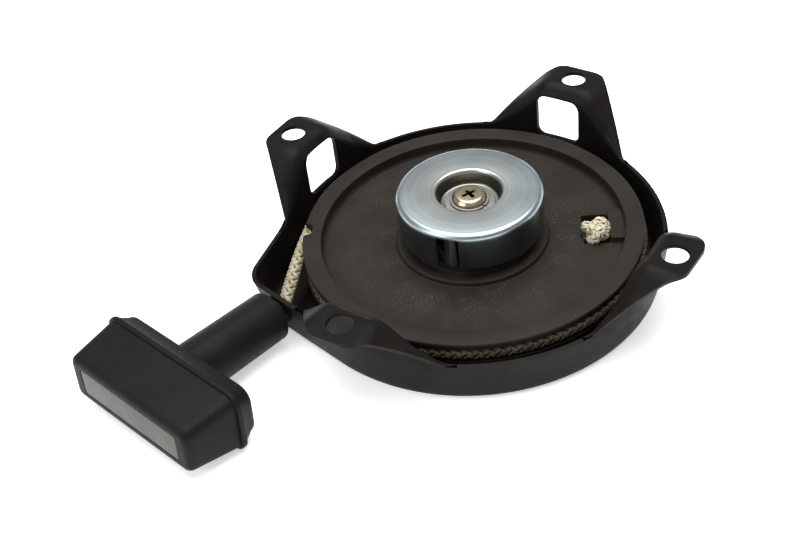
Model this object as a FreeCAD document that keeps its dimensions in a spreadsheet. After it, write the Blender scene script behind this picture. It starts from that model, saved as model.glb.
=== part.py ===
# Recoil starter of a small engine, lying on its closed face with its engine side up.
# Frame: the origin is the centre of the closed face and +Z is the pulley's axis, towards the
# engine. Angles are measured from +X, anticlockwise seen from the engine. Sizes are millimetres.
import FreeCAD
import Part

import math
import os

import Sketcher

DIMENSIONS = {
    # housing: pressed dish, rope nose, four legs with bolt tabs
    "sheet_steel": 1.4,
    "base_radius": 59.5,
    "rim_radius": 61.6,
    "rim_height": 15.35,
    "nose_radius": 10.0,
    "nose_base_radius": 16.0,
    "floor_bend": 3.0,
    "boss_radius": 12.0,
    "boss_draft": 2.0,
    "boss_rise": 1.6,
    "tab_height": 32.4,
    "tab_end": 75.8,
    "tab_half_width": 7.4,
    "tab_corner": 6.5,
    "leg_foot_out": 53.6,
    "leg_foot_half_width": 27.6,
    "leg_bend": 6.0,
    "mound_start": 45.0,
    "mound_end": 82.0,
    "shoulder_slope": 0.137,
    "heel_slope": 0.474,
    "shoulder_inset": 0.4,
    "heel_inset": 1.4,
    "bolt_circle_radius": 69.3,
    "bolt_hole_radius": 3.95,
    "window_width": 15.85,
    "window_height": 15.6,
    "window_bottom": 13.1,
    "window_offset": 1.33,
    "window_corner": 3.0,
    "window_start": 50.0,
    # centre post, turned, riveted in the floor
    "rivet_radius": 8.0,
    "tenon_radius": 5.0,
    "rivet_height": 1.6,
    "floor_top": 3.0,
    "shoulder_radius": 8.5,
    "shoulder_top": 10.1,
    "journal_radius": 6.0,
    "journal_top": 25.5,
    "neck_radius": 4.6,
    "neck_top": 27.1,
    "thread_radius": 2.5,
    "thread_bottom": 12.0,
    "post_slot_out": 8.0,
    "post_slot_length": 3.0,
    "post_slot_width": 1.2,
    "post_slot_bottom": 3.9,
    "post_slot_height": 7.0,
    # pulley: rope reel with hub, spring well, stepped upper flange and conical lower flange
    "pulley_bore": 6.05,
    "carrier_radius": 20.0,
    "carrier_top": 18.2,
    "ring_boss_radius": 24.5,
    "ring_boss_top": 14.8,
    "disc_top": 13.0,
    "disc_underside": 11.0,
    "step_radius": 48.4,
    "step_outside": 50.2,
    "flange_radius": 54.5,
    "flange_top": 17.3,
    "flange_underside": 15.3,
    "groove_floor": 34.0,
    "groove_bottom": 4.6,
    "cone_start": 47.3,
    "cone_end": 53.3,
    "lower_flange_top": 10.6,
    "lower_flange_underside": 9.2,
    "cone_end_under": 53.9,
    "cone_start_under": 47.9,
    "pulley_underside": 3.1,
    "keeper_seat_radius": 32.6,
    "keeper_seat_height": 4.1,
    "well_radius": 31.0,
    "well_roof": 10.2,
    "notch_azimuth": 163.7,
    "notch_floor": 51.7,
    "notch_floor_width": 4.2,
    "notch_mouth": 55.5,
    "notch_mouth_width": 7.4,
    "notch_bottom": 14.0,
    "notch_top": 19.0,
    "pocket_azimuth": -12.6,
    "pocket_width": 14.4,
    "pocket_start": 35.0,
    "pocket_end": 43.5,
    "pocket_bottom": 8.0,
    "pocket_height": 8.0,
    "stop_block_top": 15.0,
    "hook_slot_out": 31.4,
    "hook_slot_length": 2.4,
    "hook_slot_width": 1.4,
    "hook_slot_bottom": 4.0,
    "hook_slot_height": 6.2,
    # spring keeper
    "keeper_bore": 10.0,
    "keeper_radius": 32.4,
    "keeper_bottom": 3.3,
    "keeper_top": 4.0,
    # rewind spring: flat strip wound from the post to the well's wall
    "strip_thickness": 0.5,
    "strip_bottom": 4.3,
    "strip_height": 5.5,
    "strip_inner_radius": 8.85,
    "strip_outer_radius": 30.7,
    "strip_turns": 11.0,
    "inner_hook_end": 6.9,
    "outer_hook_end": 32.2,
    # drive dogs and their pins
    "pin_circle_radius": 13.0,
    "pin_azimuth": -173.0,
    "pin_radius": 2.0,
    "pin_height": 7.0,
    "dog_bore": 2.05,
    "dog_eye_radius": 3.3,
    "dog_bottom": 18.4,
    "dog_arm_height": 4.0,
    "dog_nose_height": 11.4,
    "dog_length": 17.45,
    "dog_nose_length": 3.6,
    "dog_tip_half_width": 1.0,
    "dog_nose_half_width": 1.5,
    "dog_waist": 11.0,
    "dog_waist_half_width": 2.1,
    "dog_root_half_width": 3.0,
    "dog_bearing": -80.4,
    "dog_coil_radius": 2.6,
    "dog_wire_radius": 0.3,
    "dog_coil_bottom": 22.9,
    "dog_coil_top": 24.7,
    "dog_coil_turns": 2.5,
    # pawl retainer cup
    "cup_radius": 23.2,
    "cup_bottom": 19.0,
    "cup_top": 31.8,
    "cup_inner_radius": 21.7,
    "cup_roof": 30.3,
    "cup_corner": 1.9,
    "recess_edge": 1.0,
    "recess_shoulder": 10.6,
    "recess_radius": 9.3,
    "recess_floor_top": 27.05,
    "recess_floor_underside": 25.55,
    "recess_under_radius": 10.8,
    "recess_under_shoulder": 12.1,
    "cup_bore": 4.68,
    "slot_azimuth": -121.1,
    "slot_width": 7.1,
    "slot_middle": 22.4,
    "slot_length": 4.0,
    "slot_top": 30.1,
    # brake spring and washer, washers and screw
    "brake_washer_radius": 9.4,
    "brake_washer_bore": 6.1,
    "brake_washer_bottom": 24.7,
    "brake_washer_top": 25.45,
    "brake_coil_radius": 7.6,
    "brake_wire_radius": 0.5,
    "brake_coil_bottom": 18.75,
    "brake_coil_top": 24.1,
    "brake_coil_turns": 4.0,
    "washer_radius": 8.1,
    "washer_bore": 2.6,
    "washer_top": 27.9,
    "lock_washer_radius": 6.2,
    "lock_washer_top": 28.6,
    "split_out": 5.0,
    "split_length": 6.0,
    "split_width": 0.6,
    "screw_head_radius": 5.5,
    "screw_head_top": 30.6,
    "screw_head_edge": 29.5,
    "screw_shank_radius": 2.45,
    "screw_end": 14.0,
    "cross_width": 1.2,
    "cross_length": 5.6,
    "cross_depth": 1.5,
    # rope: one braided cord, wound, running to the outlet, through the handle
    "rope_radius": 2.2,
    "wrap_pitch": 4.6,
    "outer_wrap_height": 12.95,
    "inner_wrap_height": 8.6,
    "leaving_radius": 53.9,
    "outer_wrap_growth": 1.2,
    "inner_wrap_radius": 47.7,
    "climb_start": 0.9,
    "climb_end": 1.06,
    "level_run": 14.0,
    "run_start": 0.4,
    "wraps": 3.48,
    "outlet_along": 26.8,
    "outlet_height": 8.9,
    "bend_radius": 12.0,
    "lift_radius": 40.0,
    "outlet_corner": 2.2,
    # rope eyelet in the exit wall
    "eyelet_bore": 3.0,
    "eyelet_radius": 4.0,
    "eyelet_flange_radius": 4.9,
    "eyelet_collar": 2.0,
    "eyelet_inner_flange": 1.0,
    "eyelet_mouth_radius": 3.9,
    "eyelet_mouth_depth": 1.2,
    "eyelet_hole_length": 12.0,
    # T handle, modelled along its own X axis from the outlet
    "handle_azimuth": 216.6,
    "handle_tilt": 3.4,
    "handle_roll": -0.8,
    "stem_radius": 8.15,
    "stem_root_radius": 8.5,
    "stem_edge": 0.8,
    "stem_bore": 2.9,
    "stem_start": 3.1,
    "tail_start": 4.15,
    "rear_start": 35.25,
    "rear_half_width": 27.6,
    "rear_half_height": 8.8,
    "rear_corner": 5.0,
    "seam": 40.65,
    "seam_half_width": 28.8,
    "seam_half_height": 10.5,
    "lip_end": 42.45,
    "lip_half_width": 29.4,
    "lip_half_height": 10.9,
    "body_half_width": 28.2,
    "body_half_height": 10.1,
    "front": 59.45,
    "front_half_width": 26.5,
    "front_half_height": 8.2,
    "grip_corner": 3.6,
    "grip_edge": 2.4,
    "insert_half_width": 21.5,
    "insert_half_height": 4.8,
    "insert_corner": 0.8,
    "insert_depth": 0.8,
    "knot_chamber_radius": 6.8,
    "knot_chamber_end": 54.25,
    "staple_radius": 6.0,
    "staple_bore": 2.3,
    "staple_thickness": 1.0,
    "end_knot_radius": 4.6,
    "pulley_knot_radius": 4.9,
    "pulley_knot_height": 3.5,
    "pulley_knot_centre": 14.7,
    "pulley_knot_circle": 39.3,
    "pulley_knot_azimuth": -17.0,
}

LEG_AZIMUTHS = (45, 135, 225, 315)
WINDOW_SIDES = {45: 1, 135: -1}
NOSE_WALLS = (147.4, 213.7)
CROSS_AZIMUTHS = (20, 110)
SPLIT_AZIMUTH = -60
SPIRAL_STEPS = 16
ROPE_STEPS = 24
# how far a cutting tool passes beyond what it cuts, and how deep joined pieces overlap
OVERREACH = 20.0
OVERLAP = 0.2

doc = FreeCAD.newDocument("RecoilStarter")
sheet = doc.addObject("Spreadsheet::Sheet", "Dims")
for row, (alias, value) in enumerate(DIMENSIONS.items(), start=1):
    sheet.set(f"A{row}", alias)
    sheet.set(f"B{row}", str(value))
    sheet.setAlias(f"B{row}", alias)
doc.recompute()

nodes = []
vector = FreeCAD.Vector
up = vector(0, 0, 1)


def size(alias):
    """The value of a cell of the sheet."""
    return float(sheet.get(alias))


def polar(radius, azimuth, height=0.0):
    """A point given by its radius, its azimuth in degrees and its height."""
    angle = math.radians(azimuth)
    return vector(radius * math.cos(angle), radius * math.sin(angle), height)


def turn_about_z(azimuth, base=None):
    """A placement that turns by the azimuth about the pulley's axis."""
    return FreeCAD.Placement(base or vector(), FreeCAD.Rotation(up, azimuth))


def keep(item, label):
    """Names an object as one of the starter's pieces."""
    item.Label = label
    nodes.append(item)
    return item


def bind(item, sizes):
    """Ties an object's properties to cells of the sheet."""
    for name, alias in sizes.items():
        item.setExpression(name, f"Dims.{alias}")
    return item


def turned(name, profile):
    """A turned body about Z. The corners are (radius, height) cells; None is the axis or z = 0."""
    body = doc.addObject("PartDesign::Body", name)
    sketch = body.newObject("Sketcher::SketchObject", name + "_profile")
    plane = [item for item in body.Origin.OriginFeatures if item.Role == "XZ_Plane"][0]
    sketch.AttachmentSupport = [(plane, "")]
    sketch.MapMode = "FlatFace"
    corners = [vector(size(r) if r else 0, size(z) if z else 0, 0) for r, z in profile]
    count = len(corners)
    for index, corner in enumerate(corners):
        sketch.addGeometry(Part.LineSegment(corner, corners[(index + 1) % count]))
    for index in range(count):
        sketch.addConstraint(Sketcher.Constraint("Coincident", index, 2, (index + 1) % count, 1))
    for index, (radius, height) in enumerate(profile):
        for kind, axis, alias in (("DistanceX", -2, radius), ("DistanceY", -1, height)):
            if alias is None:
                sketch.addConstraint(Sketcher.Constraint("PointOnObject", index, 1, axis))
                continue
            rule = sketch.addConstraint(Sketcher.Constraint(kind, -1, 1, index, 1, size(alias)))
            sketch.setExpression(f"Constraints[{rule}]", f"Dims.{alias}")
    turn = body.newObject("PartDesign::Revolution", name + "_turn")
    turn.Profile = sketch
    turn.ReferenceAxis = (sketch, ["V_Axis"])
    turn.Angle = 360
    body.Tip = turn
    return body


def cylinder(name, radius, height, placement):
    """A cylinder whose radius and height are cells."""
    item = bind(doc.addObject("Part::Cylinder", name), {"Radius": radius, "Height": height})
    item.Placement = placement
    return item


def block(name, length, width, height, centre, azimuth):
    """A box with its length along the azimuth; centre is the middle of its underside."""
    item = doc.addObject("Part::Box", name)
    item.Length = length
    item.Width = width
    item.Height = height
    turn = FreeCAD.Rotation(up, azimuth)
    corner = centre + turn.multVec(vector(-length / 2, -width / 2, 0))
    item.Placement = FreeCAD.Placement(corner, turn)
    return item


def fused(name, pieces):
    """One solid from several."""
    item = doc.addObject("Part::MultiFuse", name)
    item.Shapes = pieces
    item.Refine = True
    return item


def cut(name, base, tools):
    """A piece with one or more tools taken out of it."""
    item = doc.addObject("Part::Cut", name)
    item.Base = base
    item.Tool = tools[0] if len(tools) == 1 else fused(name + "_tools", tools)
    return item


def shaped(name, shape, placement=None):
    """A piece whose shape is worked out here from the sheet's sizes."""
    item = doc.addObject("Part::Feature", name)
    item.Shape = shape
    if placement:
        item.Placement = placement
    return item


def rounded_wire(points, radii, closed=True):
    """Straight runs through the points, with each corner an arc of its radius (0 keeps it sharp)."""
    count = len(points)
    corners = []
    for index, (point, radius) in enumerate(zip(points, radii)):
        if radius == 0:
            corners.append((point, None, point))
            continue
        back = (points[index - 1] - point).normalize()
        ahead = (points[(index + 1) % count] - point).normalize()
        half = back.getAngle(ahead) / 2
        reach = radius / math.tan(half)
        middle = (back + ahead).normalize() * (radius / math.sin(half) - radius)
        corners.append((point + back * reach, point + middle, point + ahead * reach))
    edges = []
    for index, (start, middle, end) in enumerate(corners):
        if middle:
            edges.append(Part.Arc(start, middle, end).toShape())
        if not closed and index == count - 1:
            break
        following = corners[(index + 1) % count][0]
        if end.distanceToPoint(following) > 1e-6:
            edges.append(Part.LineSegment(end, following).toShape())
    return Part.Wire(edges)


def prism(points, radii, bottom, top):
    """An upright solid on a rounded outline."""
    lowered = [vector(point.x, point.y, bottom) for point in points]
    return Part.Face(rounded_wire(lowered, radii)).extrude(up * (top - bottom))


# ---------------------------------------------------------------- housing
def dish_outline(radius, nose, height):
    """Plan of the dish: a circle and two walls tangent to it that meet in the rounded rope nose."""
    first, second = NOSE_WALLS
    middle = (first + second) / 2
    half = math.radians((second - first) / 2)
    centre = polar((radius - nose) / math.cos(half), middle, height)
    starts = [polar(radius, azimuth, height) for azimuth in NOSE_WALLS]
    ends = [centre + polar(nose, azimuth) for azimuth in NOSE_WALLS]
    return Part.Wire([
        Part.Arc(starts[1], polar(radius, middle + 180, height), starts[0]).toShape(),
        Part.LineSegment(starts[0], ends[0]).toShape(),
        Part.Arc(ends[0], centre + polar(nose, middle), ends[1]).toShape(),
        Part.LineSegment(ends[1], starts[1]).toShape(),
    ])


def wall_radius(height):
    """Outer radius of the dish's flared wall at a height."""
    flare = (size("rim_radius") - size("base_radius")) / size("rim_height")
    return size("base_radius") + flare * height


def nose_radius(height):
    """Outer radius of the rope nose's round corner at a height."""
    sharpening = (size("nose_base_radius") - size("nose_radius")) / size("rim_height")
    return size("nose_base_radius") - sharpening * height


def dish_solid(inset, bottom, top, bend):
    """The dish's solid between two heights, inset from its outer surface, with a round bottom edge."""
    wires = [
        dish_outline(wall_radius(level) - inset, nose_radius(level) - inset, level)
        for level in (bottom, top)
    ]
    solid = Part.makeLoft(wires, True, True)
    lower = [edge for edge in solid.Edges if max(v.Z for v in edge.Vertexes) < bottom + 0.01]
    return solid.makeFillet(bend, lower)


def leg_mound(thickness):
    """Solid under a leg's flange: flat over the tab, sloping to the rim on both sides."""
    foot = size("rim_height") - 1.0
    top = size("tab_height") - thickness
    bend = size("leg_bend") - thickness
    wires = []
    for out in (size("mound_start"), size("mound_end")):
        shoulder = size("shoulder_slope") * out - thickness * size("shoulder_inset")
        heel = size("heel_slope") * out - thickness * size("heel_inset")
        points = [
            vector(out, -heel, foot),
            vector(out, -shoulder, top),
            vector(out, shoulder, top),
            vector(out, heel, foot),
        ]
        wires.append(rounded_wire(points, (0, bend, bend, 0)))
    return Part.makeLoft(wires, True, True)


def leg_plan():
    """Plan of a leg and its flange, whose straight sides narrow from the rim to the rounded tab."""
    end, tip = size("tab_end"), size("tab_half_width")
    start, foot, spread = size("mound_start"), size("leg_foot_out"), size("leg_foot_half_width")
    side = [vector(start, spread, 0), vector(foot, spread, 0), vector(end, tip, 0)]
    mirrored = [vector(point.x, -point.y, 0) for point in reversed(side)]
    corner_radius = size("tab_corner")
    radii = [0, 0, corner_radius, corner_radius, 0, 0]
    return prism(side + mirrored, radii, 0, size("tab_height") + OVERREACH)


def make_housing():
    """Pressed-steel dish with a rope nose and four legs that end in bolt tabs."""
    thickness = size("sheet_steel")
    rim = size("rim_height")
    dish = dish_solid(0, 0, rim, size("floor_bend"))
    inside = dish_solid(thickness, thickness, rim + 2, size("floor_bend") - thickness)
    dish = dish.cut(inside)
    boss, draft, rise = size("boss_radius"), size("boss_draft"), size("boss_rise")
    dish = dish.fuse(Part.makeCone(boss + draft + thickness, boss + thickness, rise, up * thickness))
    dish = dish.cut(Part.makeCone(boss + draft, boss, rise))
    dish = dish.cut(Part.makeCylinder(size("tenon_radius"), OVERREACH))
    radius, nose = size("rim_radius"), size("nose_radius")
    high = up * (size("tab_height") + OVERREACH)
    outside = Part.Face(dish_outline(radius, nose, rim - 1)).extrude(high)
    hollow = Part.Face(dish_outline(radius - thickness, nose - thickness, rim - 2)).extrude(high)
    mound, under, plan = leg_mound(0), leg_mound(thickness), leg_plan()
    bolt_hole = Part.makeCylinder(size("bolt_hole_radius"), OVERREACH)
    legs = []
    for azimuth in LEG_AZIMUTHS:
        turn = turn_about_z(azimuth)
        outer = mound.copy()
        outer.Placement = turn
        inner = under.copy()
        inner.Placement = turn
        limits = plan.copy()
        limits.Placement = turn
        flange = outer.common(limits).cut(inner)
        wall = outer.common(outside)
        leg = flange.fuse(wall).cut(hollow)
        hole = bolt_hole.copy()
        hole.Placement.Base = polar(size("bolt_circle_radius"), azimuth, size("tab_height") - OVERREACH / 2)
        leg = leg.cut(hole)
        if azimuth in WINDOW_SIDES:
            leg = leg.cut(window_solid(azimuth, WINDOW_SIDES[azimuth]))
        legs.append(leg)
    dish = dish.fuse(legs).removeSplitter()
    normal, outlet = exit_wall()
    length = size("eyelet_hole_length")
    hole = Part.makeCylinder(size("eyelet_radius"), length, outlet - normal * (length / 2), normal)
    return dish.cut(hole)


def window_solid(azimuth, side):
    """The round-cornered window through a rear leg."""
    bottom, height = size("window_bottom"), size("window_height")
    half = size("window_width") / 2
    middle = side * size("window_offset")
    corners = [(-half, 0), (half, 0), (half, height), (-half, height)]
    start = size("window_start")
    points = [vector(start, middle + across, bottom + level) for across, level in corners]
    wire = rounded_wire(points, [size("window_corner")] * 4)
    solid = Part.Face(wire).extrude(vector(OVERREACH, 0, 0))
    solid.Placement = turn_about_z(azimuth)
    return solid


def exit_wall():
    """The outward normal of the nose's exit wall, and the point on its outside where the rope leaves."""
    azimuth = NOSE_WALLS[1]
    height = size("outlet_height")
    lean = math.atan2(size("rim_radius") - size("base_radius"), size("rim_height"))
    level = polar(1, azimuth)
    along = polar(1, azimuth - 90)
    outlet = level * wall_radius(height) + along * size("outlet_along") + up * height
    return level * math.cos(lean) - up * math.sin(lean), outlet


keep(shaped("housing_pressing", make_housing()), "housing")

# ---------------------------------------------------------------- centre post
post = turned("post_turned", [
    (None, None), ("rivet_radius", None), ("rivet_radius", "rivet_height"),
    ("tenon_radius", "rivet_height"), ("tenon_radius", "floor_top"),
    ("shoulder_radius", "floor_top"), ("shoulder_radius", "shoulder_top"),
    ("journal_radius", "shoulder_top"), ("journal_radius", "journal_top"),
    ("neck_radius", "journal_top"), ("neck_radius", "neck_top"),
    ("thread_radius", "neck_top"), ("thread_radius", "thread_bottom"),
    (None, "thread_bottom"),
])
spring_slot = block(
    "post_slot", size("post_slot_length"), size("post_slot_width"), size("post_slot_height"),
    vector(size("post_slot_out"), 0, size("post_slot_bottom")), 0,
)
keep(cut("post_slotted", post, [spring_slot]), "center_post")

# ---------------------------------------------------------------- pulley
reel = turned("reel_turned", [
    ("pulley_bore", "well_roof"), ("pulley_bore", "carrier_top"),
    ("carrier_radius", "carrier_top"), ("carrier_radius", "ring_boss_top"),
    ("ring_boss_radius", "ring_boss_top"), ("ring_boss_radius", "disc_top"),
    ("step_radius", "disc_top"), ("step_radius", "flange_top"),
    ("flange_radius", "flange_top"), ("flange_radius", "flange_underside"),
    ("step_outside", "flange_underside"), ("step_outside", "disc_underside"),
    ("groove_floor", "disc_underside"), ("groove_floor", "groove_bottom"),
    ("cone_start", "groove_bottom"), ("cone_end", "lower_flange_top"),
    ("flange_radius", "lower_flange_top"), ("flange_radius", "lower_flange_underside"),
    ("cone_end_under", "lower_flange_underside"), ("cone_start_under", "pulley_underside"),
    ("keeper_seat_radius", "pulley_underside"), ("keeper_seat_radius", "keeper_seat_height"),
    ("well_radius", "keeper_seat_height"), ("well_radius", "well_roof"),
])
pocket_turn = size("pocket_azimuth")
pocket_length = size("pocket_end") - size("pocket_start")
pocket_middle = polar((size("pocket_end") + size("pocket_start")) / 2, pocket_turn, size("pocket_bottom"))
knot_pocket = block(
    "knot_pocket", pocket_length, size("pocket_width"), size("pocket_height"), pocket_middle, pocket_turn,
)
stop_length = size("step_radius") + 2 * OVERLAP - size("pocket_end")
stop_bottom = size("disc_top") - OVERLAP
stop_middle = polar(size("pocket_end") + stop_length / 2, pocket_turn, stop_bottom)
stop_height = size("stop_block_top") - stop_bottom
stop_block = block(
    "knot_stop", stop_length, size("pocket_width"), stop_height, stop_middle, pocket_turn,
)
notch_floor, notch_mouth = size("notch_floor"), size("notch_mouth")
floor_half, mouth_half = size("notch_floor_width") / 2, size("notch_mouth_width") / 2
notch_corners = [
    vector(notch_floor, -floor_half, 0), vector(notch_mouth, -mouth_half, 0),
    vector(notch_mouth, mouth_half, 0), vector(notch_floor, floor_half, 0),
]
notch_solid = prism(notch_corners, [0] * 4, size("notch_bottom"), size("notch_top"))
rewind_notch = shaped("rewind_notch", notch_solid, turn_about_z(size("notch_azimuth")))
hook_slot = block(
    "hook_slot", size("hook_slot_length"), size("hook_slot_width"), size("hook_slot_height"),
    vector(size("hook_slot_out"), 0, size("hook_slot_bottom")), 0,
)
pins = []
for side, turn in (("a", 0), ("b", 180)):
    pin_base = polar(size("pin_circle_radius"), size("pin_azimuth") + turn, size("carrier_top") - OVERLAP)
    pins.append(cylinder(f"dog_pin_{side}", "pin_radius", "pin_height", turn_about_z(0, pin_base)))
reel_with_pins = fused("reel_with_pins", [reel, stop_block] + pins)
keep(cut("reel_cut", reel_with_pins, [knot_pocket, rewind_notch, hook_slot]), "pulley")

# ---------------------------------------------------------------- rewind spring and its keeper
keep(turned("keeper_disc", [
    ("keeper_bore", "keeper_bottom"), ("keeper_radius", "keeper_bottom"),
    ("keeper_radius", "keeper_top"), ("keeper_bore", "keeper_top"),
]), "spring_keeper")


def spiral(start, end, turns, height):
    """A smooth flat spiral from azimuth 0, anticlockwise outwards."""
    steps = int(turns * SPIRAL_STEPS)
    points = []
    for step in range(steps + 1):
        share = step / steps
        points.append(polar(start + (end - start) * share, 360 * turns * share, height))
    curve = Part.BSplineCurve()
    curve.interpolate(points)
    return curve.toShape()


def make_rewind_spring():
    """Flat strip spring with an inner hook in the post's slot and an outer hook in the pulley's well."""
    bottom, thick, turns = size("strip_bottom"), size("strip_thickness"), size("strip_turns")
    inner, outer = size("strip_inner_radius"), size("strip_outer_radius")
    low = spiral(inner, outer - thick, turns, bottom)
    high = spiral(inner + thick, outer, turns, bottom)
    ends = [
        Part.LineSegment(vector(inner, 0, bottom), vector(inner + thick, 0, bottom)).toShape(),
        Part.LineSegment(vector(outer - thick, 0, bottom), vector(outer, 0, bottom)).toShape(),
    ]
    height = size("strip_height")
    strip = Part.Face(Part.Wire([ends[0], low, ends[1], high])).extrude(up * height)
    inner_end, outer_end = size("inner_hook_end"), size("outer_hook_end")
    hooks = [
        Part.makeBox(inner + thick - inner_end, thick, height, vector(inner_end, -thick / 2, bottom)),
        Part.makeBox(outer_end - outer + thick, thick, height, vector(outer - thick, -thick / 2, bottom)),
    ]
    return strip.fuse(hooks)


keep(shaped("rewind_strip", make_rewind_spring()), "rewind_spring")

# ---------------------------------------------------------------- drive dogs and their springs
def make_dog():
    """A drive dog in its own frame: eye at the origin, arm along +X, tall nose at the end."""
    low, arm, tall = size("dog_bottom"), size("dog_arm_height"), size("dog_nose_height")
    length, tip = size("dog_length"), size("dog_tip_half_width")
    waist, waist_half = size("dog_waist"), size("dog_waist_half_width")
    root_half, nose_half = size("dog_root_half_width"), size("dog_nose_half_width")
    nose_start = length - size("dog_nose_length")
    arm_side = [vector(0, root_half, 0), vector(waist, waist_half, 0), vector(length, tip, 0)]
    nose_side = [vector(nose_start, nose_half, 0), vector(length, tip, 0)]
    body = Part.makeCylinder(size("dog_eye_radius"), arm, up * low)
    for side, height in ((arm_side, arm), (nose_side, tall)):
        mirrored = [vector(point.x, -point.y, 0) for point in reversed(side)]
        outline = side + mirrored
        body = body.fuse(prism(outline, [0] * len(outline), low, low + height))
    bore = Part.makeCylinder(size("dog_bore"), OVERREACH, up * (low - OVERREACH / 2))
    return body.cut(bore).removeSplitter()


def make_coil(radius, wire, bottom, top, turns):
    """An open coil spring about Z."""
    helix = Part.makeHelix((top - bottom) / turns, top - bottom, radius)
    helix.translate(up * bottom)
    section = Part.Wire(Part.makeCircle(wire, vector(radius, 0, bottom), vector(0, 1, 0)))
    return Part.Wire(helix.Edges).makePipeShell([section], True, True)


for side, turn in (("a", 0), ("b", 180)):
    pivot = polar(size("pin_circle_radius"), size("pin_azimuth") + turn)
    dog_place = turn_about_z(size("dog_bearing") + turn, pivot)
    keep(shaped(f"dog_{side}", make_dog(), dog_place), f"starter_dog_{side}")
    coil = make_coil(
        size("dog_coil_radius"), size("dog_wire_radius"),
        size("dog_coil_bottom"), size("dog_coil_top"), size("dog_coil_turns"),
    )
    keep(shaped(f"dog_coil_{side}", coil, dog_place), f"dog_spring_{side}")

# ---------------------------------------------------------------- pawl retainer and its brake
cup = turned("cup_turned", [
    ("cup_inner_radius", "cup_bottom"), ("cup_radius", "cup_bottom"), ("cup_radius", "cup_top"),
    ("recess_shoulder", "cup_top"), ("recess_radius", "recess_floor_top"),
    ("cup_bore", "recess_floor_top"), ("cup_bore", "recess_floor_underside"),
    ("recess_under_radius", "recess_floor_underside"), ("recess_under_shoulder", "cup_roof"),
    ("cup_inner_radius", "cup_roof"),
])
slot_bottom = size("cup_bottom") - 1
slots = []
for side, turn in (("a", 0), ("b", 180)):
    slot_turn = size("slot_azimuth") + turn
    slots.append(block(
        f"dog_slot_{side}", size("slot_length"), size("slot_width"), size("slot_top") - slot_bottom,
        polar(size("slot_middle"), slot_turn, slot_bottom), slot_turn,
    ))
doc.recompute()
rounded_cup = doc.addObject("Part::Fillet", "cup_rounded")
rounded_cup.Base = cup
rims = []
for number, edge in enumerate(cup.Shape.Edges, start=1):
    if isinstance(edge.Curve, Part.Circle) and abs(edge.Vertexes[0].Z - size("cup_top")) < 0.01:
        is_outer = edge.Curve.Radius > size("recess_shoulder") + 1
        rounding = size("cup_corner") if is_outer else size("recess_edge")
        rims.append((number, rounding, rounding))
rounded_cup.Edges = rims
keep(cut("cup_slotted", rounded_cup, slots), "pawl_retainer")

keep(turned("brake_disc", [
    ("brake_washer_bore", "brake_washer_bottom"), ("brake_washer_radius", "brake_washer_bottom"),
    ("brake_washer_radius", "brake_washer_top"), ("brake_washer_bore", "brake_washer_top"),
]), "brake_washer")
brake_coil = make_coil(
    size("brake_coil_radius"), size("brake_wire_radius"),
    size("brake_coil_bottom"), size("brake_coil_top"), size("brake_coil_turns"),
)
keep(shaped("brake_coil", brake_coil), "brake_spring")

keep(turned("flat_washer_disc", [
    ("washer_bore", "neck_top"), ("washer_radius", "neck_top"),
    ("washer_radius", "washer_top"), ("washer_bore", "washer_top"),
]), "flat_washer")
lock_ring = turned("lock_washer_disc", [
    ("washer_bore", "washer_top"), ("lock_washer_radius", "washer_top"),
    ("lock_washer_radius", "lock_washer_top"), ("washer_bore", "lock_washer_top"),
])
split = block(
    "lock_washer_split", size("split_length"), size("split_width"), OVERREACH,
    polar(size("split_out"), SPLIT_AZIMUTH, size("washer_top") - OVERREACH / 2), SPLIT_AZIMUTH,
)
keep(cut("lock_washer_cut", lock_ring, [split]), "lock_washer")

screw = turned("screw_turned", [
    (None, "screw_end"), ("screw_shank_radius", "screw_end"), ("screw_shank_radius", "lock_washer_top"),
    ("screw_head_radius", "lock_washer_top"), ("screw_head_radius", "screw_head_edge"),
    ("neck_radius", "screw_head_top"), (None, "screw_head_top"),
])
cross_bottom = vector(0, 0, size("screw_head_top") - size("cross_depth"))
crosses = [
    block(f"cross_{azimuth}", size("cross_length"), size("cross_width"), OVERREACH, cross_bottom, azimuth)
    for azimuth in CROSS_AZIMUTHS
]
keep(cut("screw_recessed", screw, crosses), "retainer_screw")


# ---------------------------------------------------------------- starter rope
def rope_route():
    """Where the rope leaves the reel, the corner behind the eyelet and the outlet's direction."""
    normal, outlet = exit_wall()
    turn = FreeCAD.Rotation(size("handle_azimuth"), -size("handle_tilt"), 0)
    ahead = turn.multVec(vector(1, 0, 0))
    corner_point = outlet - ahead * size("outlet_corner")
    distance = math.hypot(corner_point.x, corner_point.y)
    azimuth = math.degrees(math.atan2(corner_point.y, corner_point.x)) % 360
    leaving = azimuth - math.degrees(math.acos(size("leaving_radius") / distance))
    return leaving, corner_point, outlet, ahead


def wound_point(back, leaving):
    """Centre of the wound rope at so many turns back from where it leaves the reel."""
    climb_start, climb_end = size("climb_start"), size("climb_end")
    outer, inner = size("leaving_radius"), size("inner_wrap_radius")
    high, low = size("outer_wrap_height"), size("inner_wrap_height")
    growth = size("outer_wrap_growth")
    azimuth = leaving - 360 * back
    if back < climb_start:
        return polar(outer - growth * back, azimuth, high)
    if back < climb_end:
        share = (back - climb_start) / (climb_end - climb_start)
        start = outer - growth * climb_start
        return polar(start + (inner - start) * share, azimuth, high + (low - high) * share)
    return polar(inner - size("wrap_pitch") * (back - climb_end), azimuth, low)


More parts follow.
